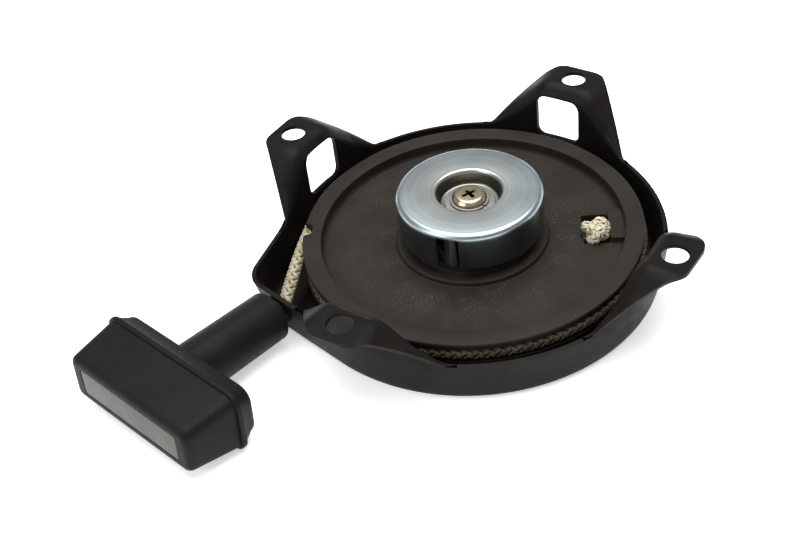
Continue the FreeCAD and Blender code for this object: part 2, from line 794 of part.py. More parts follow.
def make_wound_rope():
    """The rope on the reel, a single-file spiral that climbs to the outer flange in its last turn."""
    leaving = rope_route()[0]
    turns = size("wraps")
    steps = int(turns * ROPE_STEPS)
    sections = []
    for step in range(steps + 1):
        back = turns * step / steps
        centre = wound_point(back, leaving)
        tangent = vector(-centre.y, centre.x, 0)
        sections.append(Part.Wire(Part.makeCircle(size("rope_radius"), centre, tangent)))
    inner_end = wound_point(turns, leaving)
    elbow = Part.makeSphere(size("rope_radius"), inner_end)
    riser = Part.makeCylinder(size("rope_radius"), size("disc_top") - inner_end.z, inner_end)
    return Part.makeLoft(sections, True, True).fuse([elbow, riser])


def make_rope_run():
    """The rope from the reel, round the eyelet's mouth, to inside the handle's stem."""
    leaving, corner_point, outlet, ahead = rope_route()
    start = polar(size("leaving_radius"), leaving, size("outer_wrap_height"))
    direction = polar(1, leaving + 90)
    level_end = start + direction * size("level_run")
    start = start + direction * size("run_start")
    end = outlet + ahead * (size("stem_start") + 1.0)
    radii = (0, size("lift_radius"), size("bend_radius"), 0)
    path = rounded_wire([start, level_end, corner_point, end], radii, closed=False)
    section = Part.Wire(Part.makeCircle(size("rope_radius"), start, direction))
    return path.makePipeShell([section], True, False), path.Length


keep(shaped("rope_on_reel", make_wound_rope()), "rope_wound")
run_shape, run_length = make_rope_run()
keep(shaped("rope_to_handle", run_shape), "rope_run")

knot = doc.addObject("Part::Ellipsoid", "knot_on_pulley")
knot_radii = {
    "Radius1": "pulley_knot_height",
    "Radius2": "pulley_knot_radius",
    "Radius3": "pulley_knot_radius",
}
bind(knot, knot_radii)
knot_place = polar(size("pulley_knot_circle"), size("pulley_knot_azimuth"), size("pulley_knot_centre"))
knot.Placement = turn_about_z(size("pulley_knot_azimuth"), knot_place)
keep(knot, "pulley_knot")

# ---------------------------------------------------------------- rope eyelet
wall_normal, outlet_point = exit_wall()
eyelet_turn = FreeCAD.Rotation(up, wall_normal)


def make_eyelet():
    """Flanged bush about its own Z axis; z = 0 is the outside of the exit wall."""
    inside = -size("sheet_steel")
    flange, body, bore = size("eyelet_flange_radius"), size("eyelet_radius"), size("eyelet_bore")
    lip = size("eyelet_inner_flange")
    reach = size("eyelet_hole_length")
    bush = Part.makeCylinder(body, -inside, up * inside)
    bush = bush.fuse(Part.makeCylinder(flange, lip, up * (inside - lip)))
    bush = bush.fuse(Part.makeCylinder(flange, size("eyelet_collar")))
    depth = size("eyelet_mouth_depth")
    mouth = Part.makeCone(size("eyelet_mouth_radius"), bore, depth, up * (inside - lip))
    return bush.cut(Part.makeCylinder(bore, reach, up * (-reach / 2))).cut(mouth).removeSplitter()


keep(shaped("eyelet_bush", make_eyelet(), FreeCAD.Placement(outlet_point, eyelet_turn)), "rope_eyelet")

# ---------------------------------------------------------------- T handle
handle_turn = FreeCAD.Rotation(size("handle_azimuth"), -size("handle_tilt"), size("handle_roll"))
handle_place = FreeCAD.Placement(outlet_point, handle_turn)
along_x = vector(1, 0, 0)


def section(out, half_width, half_height, corner_radius):
    """A round-cornered cross-section of the handle."""
    corners = [(-1, -1), (1, -1), (1, 1), (-1, 1)]
    points = [vector(out, across * half_width, level * half_height) for across, level in corners]
    return rounded_wire(points, [corner_radius] * 4)


def make_handle_stem():
    """Rear half of the handle: a round stem that spreads into the back of the bar."""
    seam, start = size("seam"), size("stem_start")
    radius = size("stem_radius")
    rear = section(size("rear_start"), size("rear_half_width"), size("rear_half_height"), size("rear_corner"))
    front = section(seam, size("seam_half_width"), size("seam_half_height"), size("rear_corner"))
    shape = Part.makeLoft([rear, front], True, True)
    stem_length = size("rear_start") + 1 - start
    shape = shape.fuse(Part.makeCone(radius, size("stem_root_radius"), stem_length, along_x * start, along_x))
    shape = shape.cut(Part.makeCylinder(size("stem_bore"), seam, along_x, along_x))
    ends = [edge for edge in shape.Edges if isinstance(edge.Curve, Part.Circle)
            and abs(edge.Curve.Radius - radius) < 0.01 and abs(edge.Curve.Center.x - start) < 0.01]
    return shape.makeFillet(size("stem_edge"), ends)


def make_handle_grip():
    """Front half of the handle: a lip at the seam and a bar that tapers to its front face."""
    seam, lip, front = size("seam"), size("lip_end"), size("front")
    corner_radius = size("grip_corner")
    lip_wire = section(seam, size("lip_half_width"), size("lip_half_height"), size("rear_corner"))
    shape = Part.makeLoft([
        section(lip - OVERLAP, size("body_half_width"), size("body_half_height"), corner_radius),
        section(front, size("front_half_width"), size("front_half_height"), corner_radius),
    ], True, True)
    rim = [edge for edge in shape.Edges if min(v.X for v in edge.Vertexes) > front - 0.01]
    shape = shape.makeFillet(size("grip_edge"), rim)
    shape = shape.fuse(Part.Face(lip_wire).extrude(along_x * (lip - seam)))
    chamber = size("knot_chamber_end") - seam
    shape = shape.cut(Part.makeCylinder(size("knot_chamber_radius"), chamber, along_x * seam, along_x))
    return shape.cut(make_insert(front - size("insert_depth"), OVERREACH))


def make_insert(start, depth):
    """The blank plate let into the handle's front face."""
    outline = section(start, size("insert_half_width"), size("insert_half_height"), size("insert_corner"))
    return Part.Face(outline).extrude(along_x * depth)


def make_staple():
    """Metal washer that the end knot pulls against."""
    start, thick = size("seam"), size("staple_thickness")
    ring = Part.makeCylinder(size("staple_radius"), thick, along_x * start, along_x)
    return ring.cut(Part.makeCylinder(size("staple_bore"), thick, along_x * start, along_x))


staple_end = size("seam") + size("staple_thickness")
tail_start = size("tail_start")
tail = Part.makeCylinder(size("rope_radius"), staple_end - tail_start, along_x * tail_start, along_x)
end_knot = Part.makeSphere(size("end_knot_radius"), along_x * (staple_end + size("end_knot_radius")))
keep(shaped("handle_rear", make_handle_stem(), handle_place), "handle_stem")
keep(shaped("handle_front", make_handle_grip(), handle_place), "handle_grip")
insert_start = size("front") - size("insert_depth")
keep(shaped("front_plate", make_insert(insert_start, size("insert_depth")), handle_place), "handle_insert")
keep(shaped("staple_ring", make_staple(), handle_place), "rope_staple")
keep(shaped("rope_in_stem", tail, handle_place), "rope_tail")
keep(shaped("knot_in_handle", end_knot, handle_place), "handle_knot")

# ---------------------------------------------------------------- checks and files
doc.recompute()
for item in doc.Objects:
    if "Invalid" in item.State or "Error" in item.State:
        raise RuntimeError(f"{item.Name} did not build: {item.State}")
os.makedirs("parts", exist_ok=True)
for item in nodes:
    if item.Shape.isNull() or not item.Shape.isValid():
        raise RuntimeError(f"{item.Label} is not a valid shape")
for item in nodes:
    item.Shape.exportStep(os.path.join("parts", item.Label + ".step"))
    box = item.Shape.BoundBox
    low, high = vector(box.XMin, box.YMin, box.ZMin), vector(box.XMax, box.YMax, box.ZMax)
    print(f"{item.Label:16s} solids {len(item.Shape.Solids)} from {low} to {high}")
print(f"rope run {run_length:.1f} mm, bend radius {size('bend_radius'):.1f} mm")
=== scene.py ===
import math

import bmesh
import bpy
import numpy as np
from mathutils import Matrix, Vector, kdtree


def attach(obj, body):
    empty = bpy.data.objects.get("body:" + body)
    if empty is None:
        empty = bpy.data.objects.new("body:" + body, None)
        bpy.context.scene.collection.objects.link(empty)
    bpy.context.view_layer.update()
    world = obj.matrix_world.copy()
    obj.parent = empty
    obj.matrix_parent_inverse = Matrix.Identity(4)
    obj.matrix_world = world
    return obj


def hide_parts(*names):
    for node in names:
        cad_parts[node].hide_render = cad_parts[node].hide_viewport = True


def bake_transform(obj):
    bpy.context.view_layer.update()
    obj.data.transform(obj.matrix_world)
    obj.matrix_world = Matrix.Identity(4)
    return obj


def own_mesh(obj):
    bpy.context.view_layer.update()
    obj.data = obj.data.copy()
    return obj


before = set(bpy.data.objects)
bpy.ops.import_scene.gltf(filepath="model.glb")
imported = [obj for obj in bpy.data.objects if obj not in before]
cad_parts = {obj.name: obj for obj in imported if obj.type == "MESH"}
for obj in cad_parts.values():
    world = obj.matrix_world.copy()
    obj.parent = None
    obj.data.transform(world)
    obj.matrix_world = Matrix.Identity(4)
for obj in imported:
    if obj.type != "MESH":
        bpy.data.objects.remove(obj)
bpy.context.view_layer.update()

MM = 0.001
UP = Vector((0, 0, 1))

# the photograph's camera
LENS, SENSOR = 58.1, 36.0
CAMERA_PLACE = (-61.226, -315.972, 275.763)
CAMERA_RIGHT = (0.97600249, -0.19539211, -0.09613044)
CAMERA_UP = (0.19912195, 0.62210638, 0.75718828)
CAMERA_FORWARD = (0.08814526, 0.75815933, -0.64608424)
FLOOR_REACH = 3000

# housing: NOSE_WALLS are the azimuths of the two straight walls beside the nose
SHEET = 1.4
BASE_RADIUS, RIM_RADIUS, RIM_HEIGHT = 59.5, 61.6, 15.35
NOSE_WALLS, NOSE_RADIUS, NOSE_BASE_RADIUS = (147.4, 213.7), 10.0, 16.0
FLOOR_BEND = 3.0
TAB_TOP, TAB_BEND = 32.4, 5.5
SHOULDER_SLOPE, FLANK_FALL = 0.137, 53.5
LEG_AZIMUTHS = (45, 135, 225, 315)
LEG_OUTLINE = ((75.8, 0.0), (75.8, 7.4), (53.6, 27.6))
LEG_CORNERS = (0, 6.5, 0)
BOLT_CIRCLE, BOLT_HOLE = 69.3, 3.95
WINDOWS = {45: 1.33, 135: -1.33}  # a rear leg's azimuth, and its window's offset across it
WINDOW_LEVEL, WINDOW_HALF_HEIGHT, WINDOW_HALF_WIDTH, WINDOW_CORNER = 20.9, 7.8, 7.925, 3.0

# pulley, cup and screw
POCKET_AZIMUTH, NOTCH_AZIMUTH, NOTCH_START = -12.6, 163.7, 51.7
PIN_AZIMUTHS, PIN_CIRCLE, PIN_RADIUS = (-173, 7), 13.0, 2.0
SLOT_AZIMUTHS, SLOT_LEVEL = (-121.1, 58.9), 24.05
CROSS_AZIMUTHS, SPLIT_AZIMUTH = (20, 110), -60

# rope: CLIMB and the turns are counted back from where the rope leaves the reel
ROPE_RADIUS = 2.2
REEL_RADIUS, REEL_HEIGHT, INNER_RADIUS, INNER_HEIGHT = 53.9, 12.95, 47.7, 8.6
WRAPS, WRAP_PITCH, CLIMB = 3.48, 4.6, (0.9, 1.06)
OUTER_TAPER, OUTER_TURNS, INNER_START = 1.2, 1.2, 1.19
BRAID_PITCH, BRAID_STRANDS = 12.6, 4
YARN_LEVEL, YARN_WAVE, YARN_APART = 1.56, 0.30, 0.52
YARN_HALF_WIDTH, YARN_HALF_HEIGHT, CORE_RADIUS = 0.52, 0.36, 1.3
WOUND_RADIUS, PAID_RADIUS, FLAT_LEVEL = 2.15, 2.14, 9.9
CROWN_FLOOR, CROWN_RISE = 0.62, 0.36
KNOT_SIZE, KNOT_HEIGHT, KNOT_ROPE_RADIUS, KNOT_PITCH = 1.06, 1.7, 1.72, 8.4
POCKET_KNOT = (39.3, -17.0, 14.7)  # radius, azimuth and height

# handle: LIP, SEAT and PLATE are half widths and half heights
HANDLE_AZIMUTH, HANDLE_TILT, HANDLE_ROLL = 216.6, 3.4, -0.8
OUTLET_ALONG, OUTLET_HEIGHT = 26.8, 8.9
STEM_BORE, BAR_CORNER, FRONT_CORNER = 2.9, 5.0, 3.6
LIP = (29.4, 10.9, BAR_CORNER)
SEAT, PLATE = (21.5, 4.8), (21.4, 4.7)
HANDLE_KNOT_ALONG = 46.25


def polar(radius, azimuth, height=0.0):
    """A point given by its radius, its azimuth in degrees and its height."""
    angle = math.radians(azimuth)
    return Vector((radius * math.cos(angle), radius * math.sin(angle), height))


def axes(origin, x_axis):
    """A matrix whose X axis is x_axis and whose Z axis is as near to upright as it can be."""
    x_axis = x_axis.normalized()
    y_axis = UP.cross(x_axis).normalized()
    z_axis = x_axis.cross(y_axis)
    matrix = Matrix((x_axis, y_axis, z_axis)).transposed().to_4x4()
    matrix.translation = origin
    return matrix


def turned(azimuth):
    """A turn about the pulley's axis, in degrees."""
    return Matrix.Rotation(math.radians(azimuth), 4, "Z")


EXIT_LEAN = math.atan2(RIM_RADIUS - BASE_RADIUS, RIM_HEIGHT)
EXIT_LEVEL = polar(1, NOSE_WALLS[1])
EXIT_NORMAL = EXIT_LEVEL * math.cos(EXIT_LEAN) - UP * math.sin(EXIT_LEAN)
OUTLET = (EXIT_LEVEL * (BASE_RADIUS + math.tan(EXIT_LEAN) * OUTLET_HEIGHT)
          + polar(OUTLET_ALONG, NOSE_WALLS[1] - 90) + UP * OUTLET_HEIGHT)
TILT = math.radians(HANDLE_TILT)
AHEAD = polar(math.cos(TILT), HANDLE_AZIMUTH) + UP * math.sin(TILT)
HANDLE_PLACE = axes(OUTLET, AHEAD) @ Matrix.Rotation(math.radians(HANDLE_ROLL), 4, "X")
ALONG_X = Matrix(((0, 0, 1, 0), (0, 1, 0, 0), (-1, 0, 0, 0), (0, 0, 0, 1)))
EYELET_PLACE = axes(OUTLET, EXIT_NORMAL) @ ALONG_X
STEM_PLACE = HANDLE_PLACE @ ALONG_X


# ---------------------------------------------------------------- camera, floor and light
def make_camera():
    """The photograph's camera."""
    data = bpy.data.cameras.new("camera")
    data.lens = LENS
    data.sensor_width = SENSOR
    camera = bpy.data.objects.new("camera", data)
    right, upward, forward = Vector(CAMERA_RIGHT), Vector(CAMERA_UP), Vector(CAMERA_FORWARD)
    matrix = Matrix((right, upward, -forward)).transposed().to_4x4()
    matrix.translation = Vector(CAMERA_PLACE) * MM
    camera.matrix_world = matrix
    bpy.context.scene.collection.objects.link(camera)
    bpy.context.scene.camera = camera


def make_light(name, place, width, height, power):
    """A soft rectangular lamp that faces the origin."""
    data = bpy.data.lights.new(name, "AREA")
    data.shape = "RECTANGLE"
    data.size, data.size_y = width, height
    data.energy = power
    lamp = bpy.data.objects.new(name, data)
    lamp.rotation_euler = (-Vector(place)).to_track_quat("-Z", "Y").to_euler()
    lamp.location = place
    bpy.context.scene.collection.objects.link(lamp)


def make_world():
    """Plain surroundings, white at the horizon and grey overhead."""
    world = bpy.data.worlds.new("studio")
    world.use_nodes = True
    tree = world.node_tree
    tree.nodes.clear()
    place = tree.nodes.new("ShaderNodeTexCoord")
    split = tree.nodes.new("ShaderNodeSeparateXYZ")
    ramp = tree.nodes.new("ShaderNodeValToRGB")
    background = tree.nodes.new("ShaderNodeBackground")
    out = tree.nodes.new("ShaderNodeOutputWorld")
    tree.links.new(place.outputs["Generated"], split.inputs[0])
    tree.links.new(split.outputs["Z"], ramp.inputs["Fac"])
    stops = ramp.color_ramp.elements
    stops[0].position, stops[0].color = 0.0, (1.0, 1.0, 1.0, 1)
    stops[1].position, stops[1].color = 0.35, (0.30, 0.30, 0.31, 1)
    stops.new(0.12).color = (0.85, 0.85, 0.85, 1)
    tree.links.new(ramp.outputs["Color"], background.inputs["Color"])
    background.inputs["Strength"].default_value = 1.0
    tree.links.new(background.outputs[0], out.inputs["Surface"])
    bpy.context.scene.world = world


# ---------------------------------------------------------------- meshes
def make_mesh(name, verts, faces, place=None):
    """An object from points in millimetres, with its normals outwards."""
    mesh = bpy.data.meshes.new(name)
    points = [Vector(vert) for vert in verts]
    if place is not None:
        points = [place @ point for point in points]
    mesh.from_pydata([point * MM for point in points], [], faces)
    tidy = bmesh.new()
    tidy.from_mesh(mesh)
    bmesh.ops.remove_doubles(tidy, verts=tidy.verts, dist=1e-7)
    bmesh.ops.recalc_face_normals(tidy, faces=tidy.faces)
    tidy.to_mesh(mesh)
    tidy.free()
    piece = bpy.data.objects.new(name, mesh)
    bpy.context.scene.collection.objects.link(piece)
    return piece


def bake(piece):
    """Puts a piece's modifiers into its mesh."""
    bpy.context.view_layer.update()
    graph = bpy.context.evaluated_depsgraph_get()
    mesh = bpy.data.meshes.new_from_object(piece.evaluated_get(graph))
    piece.modifiers.clear()
    piece.data = mesh


def finish_piece(piece, material, body=None, nodes=(), sharp_angle=35):
    """Smooth shading, material, body and the CAD nodes that a piece stands for."""
    piece.data.shade_smooth()
    piece.data.set_sharp_from_angle(angle=math.radians(sharp_angle))
    piece.data.materials.clear()
    piece.data.materials.append(material)
    if body:
        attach(piece, body)
    if nodes:
        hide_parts(*nodes)


def grid_faces(rows, columns, wrap_rows=False, wrap_columns=False):
    """Quads of a grid whose points are stored row by row."""
    faces = []
    for row in range(rows if wrap_rows else rows - 1):
        for column in range(columns if wrap_columns else columns - 1):
            ahead, above = (column + 1) % columns, (row + 1) % rows
            faces.append(tuple(r * columns + c for r, c in
                               ((row, column), (row, ahead), (above, ahead), (above, column))))
    return faces


def rounded(points, radii, closed=True, steps=5):
    """A flat outline with each corner an arc of its radius (0 keeps it sharp)."""
    count = len(points)
    outline = []
    for index, radius in enumerate(radii):
        corner = Vector(points[index])
        if radius == 0 or (not closed and index in (0, count - 1)):
            outline.append(corner)
            continue
        back = (Vector(points[index - 1]) - corner).normalized()
        ahead = (Vector(points[(index + 1) % count]) - corner).normalized()
        half = back.angle(ahead) / 2
        centre = corner + (back + ahead).normalized() * (radius / math.sin(half))
        start = corner + back * (radius / math.tan(half)) - centre
        end = corner + ahead * (radius / math.tan(half)) - centre
        spread = start.angle(end)
        for step in range(steps + 1):
            share = step / steps
            outline.append(centre + (start * math.sin((1 - share) * spread)
                                     + end * math.sin(share * spread)) / math.sin(spread))
    return outline


def lathe(name, corners, radii, segments=192, closed=True, steps=5, place=None):
    """A turned piece about Z from (radius, height) corners, each rounded by its radius."""
    profile = rounded(corners, radii, closed, steps)
    verts = []
    for point in profile:
        for segment in range(segments):
            angle = math.tau * segment / segments
            verts.append((point[0] * math.cos(angle), point[0] * math.sin(angle), point[1]))
    faces = grid_faces(len(profile), segments, wrap_rows=closed, wrap_columns=True)
    return make_mesh(name, verts, faces, place)


def prism(name, outline, start, end, place=None):
    """A straight solid on a flat outline, along its own Z."""
    count = len(outline)
    verts = [(x, y, level) for level in (start, end) for x, y in outline]
    faces = grid_faces(2, count, wrap_columns=True)
    faces += [tuple(range(count)), tuple(range(2 * count - 1, count - 1, -1))]
    return make_mesh(name, verts, faces, place)


def rectangle(half_width, half_height, corner, steps=4):
    """A round-cornered rectangle about the origin."""
    corners = [(-half_width, -half_height), (half_width, -half_height),
               (half_width, half_height), (-half_width, half_height)]
    return rounded(corners, [corner] * 4, steps=steps)


def loft(name, sections, place=None):
    """A closed solid through sections of the same number of points, with flat ends."""
    count = len(sections[0])
    verts = [point for section in sections for point in section]
    faces = grid_faces(len(sections), count, wrap_columns=True)
    last = (len(sections) - 1) * count
    faces += [tuple(range(count)), tuple(range(last + count - 1, last - 1, -1))]
    return make_mesh(name, verts, faces, place)


def carve(piece, cutters, operation="DIFFERENCE"):
    """Takes the cutters out of a piece, or joins them to it."""
    for cutter in cutters:
        change = piece.modifiers.new("carve", "BOOLEAN")
        change.operation = operation
        change.solver = "EXACT"
        change.object = cutter
    bake(piece)
    for cutter in cutters:
        bpy.data.objects.remove(cutter)


# ---------------------------------------------------------------- materials
class Finish:
    """A procedural material: textures in the piece's own space, in millimetres."""

    def __init__(self, name, **sockets):
        self.material = bpy.data.materials.new(name)
        self.material.use_nodes = True
        self.tree = self.material.node_tree
        self.shader = self.tree.nodes["Principled BSDF"]
        for socket, value in sockets.items():
            self.shader.inputs[socket.replace("_", " ")].default_value = value
        place = self.tree.nodes.new("ShaderNodeTexCoord").outputs["Object"]
        self.place = self.node("VectorMath", {0: place, 1: (1 / MM,) * 3}, operation="MULTIPLY")[0]

    def plug(self, value, socket):
        """Links a socket to a value that is another node's output, or sets it."""
        if isinstance(value, bpy.types.NodeSocket):
            self.tree.links.new(value, socket)
        else:
            socket.default_value = value

    def node(self, kind, inputs=None, **settings):
        """Adds a node and returns its outputs."""
        item = self.tree.nodes.new("ShaderNode" + kind)
        for setting, value in settings.items():
            setattr(item, setting, value)
        for socket, value in (inputs or {}).items():
            self.plug(value, item.inputs[socket])
        return item.outputs

    def math(self, operation, first, second=0.0):
        """One step of arithmetic."""
        return self.node("Math", {0: first, 1: second}, operation=operation)[0]

    def noise(self, size, detail=3.0, roughness=0.5):
        """Noise whose features are about size millimetres across."""
        return self.node("TexNoise", {"Vector": self.place, "Scale": 1.0 / size,
                                      "Detail": detail, "Roughness": roughness})["Fac"]

    def ramp(self, value, low, high, start=0.0, end=1.0):
        """A value's range low to high, spread over start to end and held there."""
        return self.node("MapRange", {"Value": value, "From Min": low, "From Max": high,
                                      "To Min": start, "To Max": end})["Result"]

    def mix(self, share, first, second):
        """A colour between two, by a share."""
        return self.node("MixRGB", {"Fac": share, "Color1": first, "Color2": second})["Color"]

    def height(self):
        """Height over the closed face."""
        return self.node("SeparateXYZ", {0: self.place})["Z"]

    def radius(self):
        """Distance from the pulley's axis."""
        flat = self.node("VectorMath", {0: self.place, 1: (1, 1, 0)}, operation="MULTIPLY")[0]
        return self.node("VectorMath", {0: flat}, operation="LENGTH")["Value"]

    def bump(self, height, depth):
        """Relief, with its depth in millimetres."""
        normal = self.node("Bump", {"Height": height, "Strength": 1.0, "Distance": depth * MM})
        self.plug(normal["Normal"], self.shader.inputs["Normal"])

    def paint(self, socket, value):
        """Feeds one of the shader's sockets."""
        self.plug(value, self.shader.inputs[socket])


def rgb(red, green, blue):
    """A colour from its 0-255 sRGB numbers."""
    linear = [(c / 255 / 12.92) if c <= 10 else ((c / 255 + 0.055) / 1.055) ** 2.4
              for c in (red, green, blue)]
    return (*linear, 1.0)


def black_paint():
    """Satin black enamel on pressed steel, with a fine orange peel and a little dust."""
    finish = Finish("black_paint", Specular_IOR_Level=0.075)
    dust = finish.ramp(finish.noise(9.0, 5.0), 0.45, 0.75)
    finish.paint("Base Color", finish.mix(dust, rgb(20, 18, 15), rgb(27, 24, 21)))
    finish.paint("Roughness", finish.ramp(finish.noise(3.5, 4.0), 0.3, 0.7, 0.34, 0.48))
    finish.bump(finish.noise(0.7, 2.0), 0.02)
    return finish.material


def pulley_plastic():
    """Moulded dark plastic, dusty and scuffed near the boss."""
    finish = Finish("pulley_plastic", Specular_IOR_Level=0.12)
    radius = finish.radius()
    near = finish.math("MULTIPLY", finish.ramp(radius, 48, 30), finish.ramp(radius, 24, 26))
    speckle = finish.ramp(finish.noise(0.5, 4.0, roughness=0.75), 0.56, 0.70)
    cloud = finish.ramp(finish.noise(8.0, 4.0), 0.42, 0.62)
    dust = finish.math("MULTIPLY", finish.math("MULTIPLY", speckle, cloud), near)
    tone = finish.mix(finish.ramp(finish.noise(14.0, 3.0), 0.35, 0.7), rgb(34, 31, 27), rgb(41, 37, 32))
    finish.paint("Base Color", finish.mix(dust, tone, rgb(128, 118, 102)))
    finish.paint("Roughness", finish.ramp(finish.noise(2.2, 4.0), 0.3, 0.7, 0.42, 0.60))
    finish.bump(finish.noise(0.5, 4.0), 0.03)
    return finish.material


def zinc():
    """Zinc plate: faint turning marks, a bluish to warm drift, painted shade in the recess and painted shade
    down the side.
    """
    finish = Finish("zinc", Metallic=1.0)
    radius = finish.radius()
    height = finish.height()
    rings = finish.node("TexNoise", {"W": radius, "Scale": 1.3, "Detail": 2.0},
                        noise_dimensions="1D")["Fac"]
    cloud = finish.ramp(finish.noise(5.0, 4.0), 0.35, 0.7)
    plate = finish.mix(finish.ramp(radius, 11, 22), rgb(186, 188, 182), rgb(170, 183, 187))
    plate = finish.mix(finish.math("MULTIPLY", cloud, 0.3), plate, rgb(196, 202, 200))
    plate = finish.mix(finish.ramp(rings, 0.38, 0.62, 0.0, 0.5), plate, rgb(146, 157, 158))
    # Painted shade: the cup's side is darkened where it would reflect dark surroundings.
    down = finish.math("MULTIPLY", finish.ramp(radius, 19.0, 20.0), finish.ramp(height, 30.4, 29.2))
    plate = finish.mix(down, plate, rgb(108, 115, 116))
    # Painted shade: the walls of the recess are darkened.
    recess_shade = finish.math("MULTIPLY", finish.ramp(radius, 10.9, 10.2), finish.ramp(height, 31.6, 30.4))
    plate = finish.mix(recess_shade, plate, rgb(88, 88, 80))
    # Painted shade on the recess floor, lighter than on the recess walls.
    recess_floor_shade = finish.math("MULTIPLY", finish.ramp(radius, 9.4, 9.0), finish.ramp(height, 27.8, 27.3))
    finish.paint("Base Color", finish.mix(recess_floor_shade, plate, rgb(150, 150, 142)))
    finish.paint("Roughness", finish.ramp(finish.noise(12.0, 1.0), 0.3, 0.7, 0.3, 0.34))
    return finish.material


def nickel():
    """Bright nickel plate on the screw, with painted shade in its cross."""
    finish = Finish("screw", Metallic=1.0)
    height = finish.height()
    # Painted shade: the cross is darkened below the top of the head.
    cross_shade = finish.math("MULTIPLY", finish.ramp(height, 30.25, 30.0), finish.ramp(finish.radius(), 3.1, 2.9))
    finish.paint("Base Color", finish.mix(cross_shade, rgb(180, 168, 142), rgb(46, 38, 26)))
    finish.paint("Roughness", finish.ramp(finish.noise(4.0, 1.0), 0.3, 0.7, 0.25, 0.3))
    return finish.material


def metal(name, colour, roughness):
    """Plain metal with a slightly uneven surface."""
    finish = Finish(name, Metallic=1.0, Base_Color=colour)
    uneven = finish.noise(0.8, 4.0)
    finish.paint("Roughness", finish.ramp(uneven, 0.3, 0.7, roughness * 0.8, roughness * 1.3))
    finish.bump(uneven, 0.01)
    return finish.material


def moulded(name, colour, roughness, grain, depth, gloss):
    """Moulded plastic with a fine matt grain."""
    finish = Finish(name, Specular_IOR_Level=gloss)
    cloud = finish.ramp(finish.noise(11.0, 3.0), 0.35, 0.7)
    paler = tuple(c * 1.35 for c in colour[:3]) + (1,)
    finish.paint("Base Color", finish.mix(cloud, colour, paler))
    patches = finish.noise(1.2, 3.0)
    finish.paint("Roughness", finish.ramp(patches, 0.3, 0.7, roughness - 0.06, roughness + 0.06))
    finish.bump(finish.noise(grain, 3.0), depth)
    return finish.material


def yarn(name, hollow_shade, clean, pale):
    """Braided nylon yarn with fine fibres, and painted shade in the gaps between its tufts."""
    finish = Finish(name, Roughness=0.75, Specular_IOR_Level=0.2)
    crown = finish.node("Attribute", attribute_name="crown")["Fac"]
    fibre = finish.noise(0.16, 3.0)
    cloud = finish.ramp(finish.noise(4.0, 3.0), 0.35, 0.7)
    tuft = finish.mix(cloud, clean, pale)
    tuft = finish.mix(finish.ramp(fibre, 0.6, 0.35, 0.0, 0.35), tuft, hollow_shade)
    # Painted shade: where the crown attribute is low, the gaps between tufts take the dark colour.
    finish.paint("Base Color", finish.mix(crown, hollow_shade, tuft))
    finish.bump(fibre, 0.06)
    return finish.material


def braided_yarn():
    """The same yarn for the length that pays out: its braid is drawn along the rope's line."""
    finish = Finish("rope_paid_out", Roughness=0.75)
    origin = finish.node("VectorMath", {0: finish.place, 1: tuple(OUTLET)}, operation="SUBTRACT")[0]
    side, top = HANDLE_PLACE.to_3x3().col[1], HANDLE_PLACE.to_3x3().col[2]
    along, across, level = (
        finish.node("VectorMath", {0: origin, 1: tuple(axis)}, operation="DOT_PRODUCT")["Value"]
        for axis in (AHEAD, side, top)
    )
    turn = finish.math("DIVIDE", finish.math("ARCTAN2", level, across), math.tau / (2 * BRAID_STRANDS))
    row = finish.math("FLOOR", finish.math("ADD", turn, 100.0))
    parity = finish.math("MODULO", row, 2.0)
    inside = finish.math("FRACT", finish.math("ADD", turn, 100.0))
    slant = finish.math("MULTIPLY", finish.math("SUBTRACT", parity, 0.5), inside)
    picks = finish.math("DIVIDE", along, BRAID_PITCH / BRAID_STRANDS)
    phase = finish.math("ADD", finish.math("ADD", picks, slant), finish.math("MULTIPLY", parity, 0.5))
    tuft = finish.math("ABSOLUTE", finish.math("SINE", finish.math("MULTIPLY", phase, math.pi)))
    edge = finish.math("SINE", finish.math("MULTIPLY", inside, math.pi))
    height = finish.math("POWER", finish.math("MULTIPLY", tuft, edge), 0.5)
    fibre = finish.noise(0.16, 3.0)
    # Painted shade: the colour goes dark between the drawn tufts, by their height.
    finish.paint("Base Color", finish.mix(height, rgb(84, 72, 50), rgb(196, 188, 162)))
    finish.bump(finish.math("ADD", height, finish.math("MULTIPLY", fibre, 0.15)), 0.4)
    return finish.material


FINISHES = {
    "black_paint": black_paint(),
    "pulley_plastic": pulley_plastic(),
    "zinc": zinc(),
    "steel": metal("steel", rgb(150, 148, 144), 0.38),
    # The eyelet is coloured near-black: painted shade where the rope leaves the dish.
    "eyelet_steel": moulded("eyelet_steel", rgb(24, 22, 20), 0.45, 0.5, 0.01, 0.2),
    "screw": nickel(),
    "spring_steel": metal("spring_steel", rgb(84, 86, 92), 0.35),
    "handle_plastic": moulded("handle_plastic", rgb(19, 19, 17), 0.5, 0.35, 0.03, 0.095),
    "insert_plastic": moulded("insert_plastic", rgb(74, 73, 69), 0.42, 0.5, 0.01, 0.2),
    "rope": yarn("rope", rgb(52, 44, 30), rgb(166, 157, 130), rgb(192, 185, 160)),
    # The rope on the reel: a darker copy of the rope, partly dirt and partly painted shade under the flange.
    "rope_dirt_and_shade": yarn("rope_dirt_and_shade", rgb(32, 28, 22), rgb(74, 68, 55), rgb(98, 91, 75)),
    # The knot in the pocket: a lighter copy of the rope, painted light.
    "rope_painted_light": yarn("rope_painted_light", rgb(104, 94, 70), rgb(200, 190, 162), rgb(224, 216, 192)),
    "rope_paid_out": braided_yarn(),
}


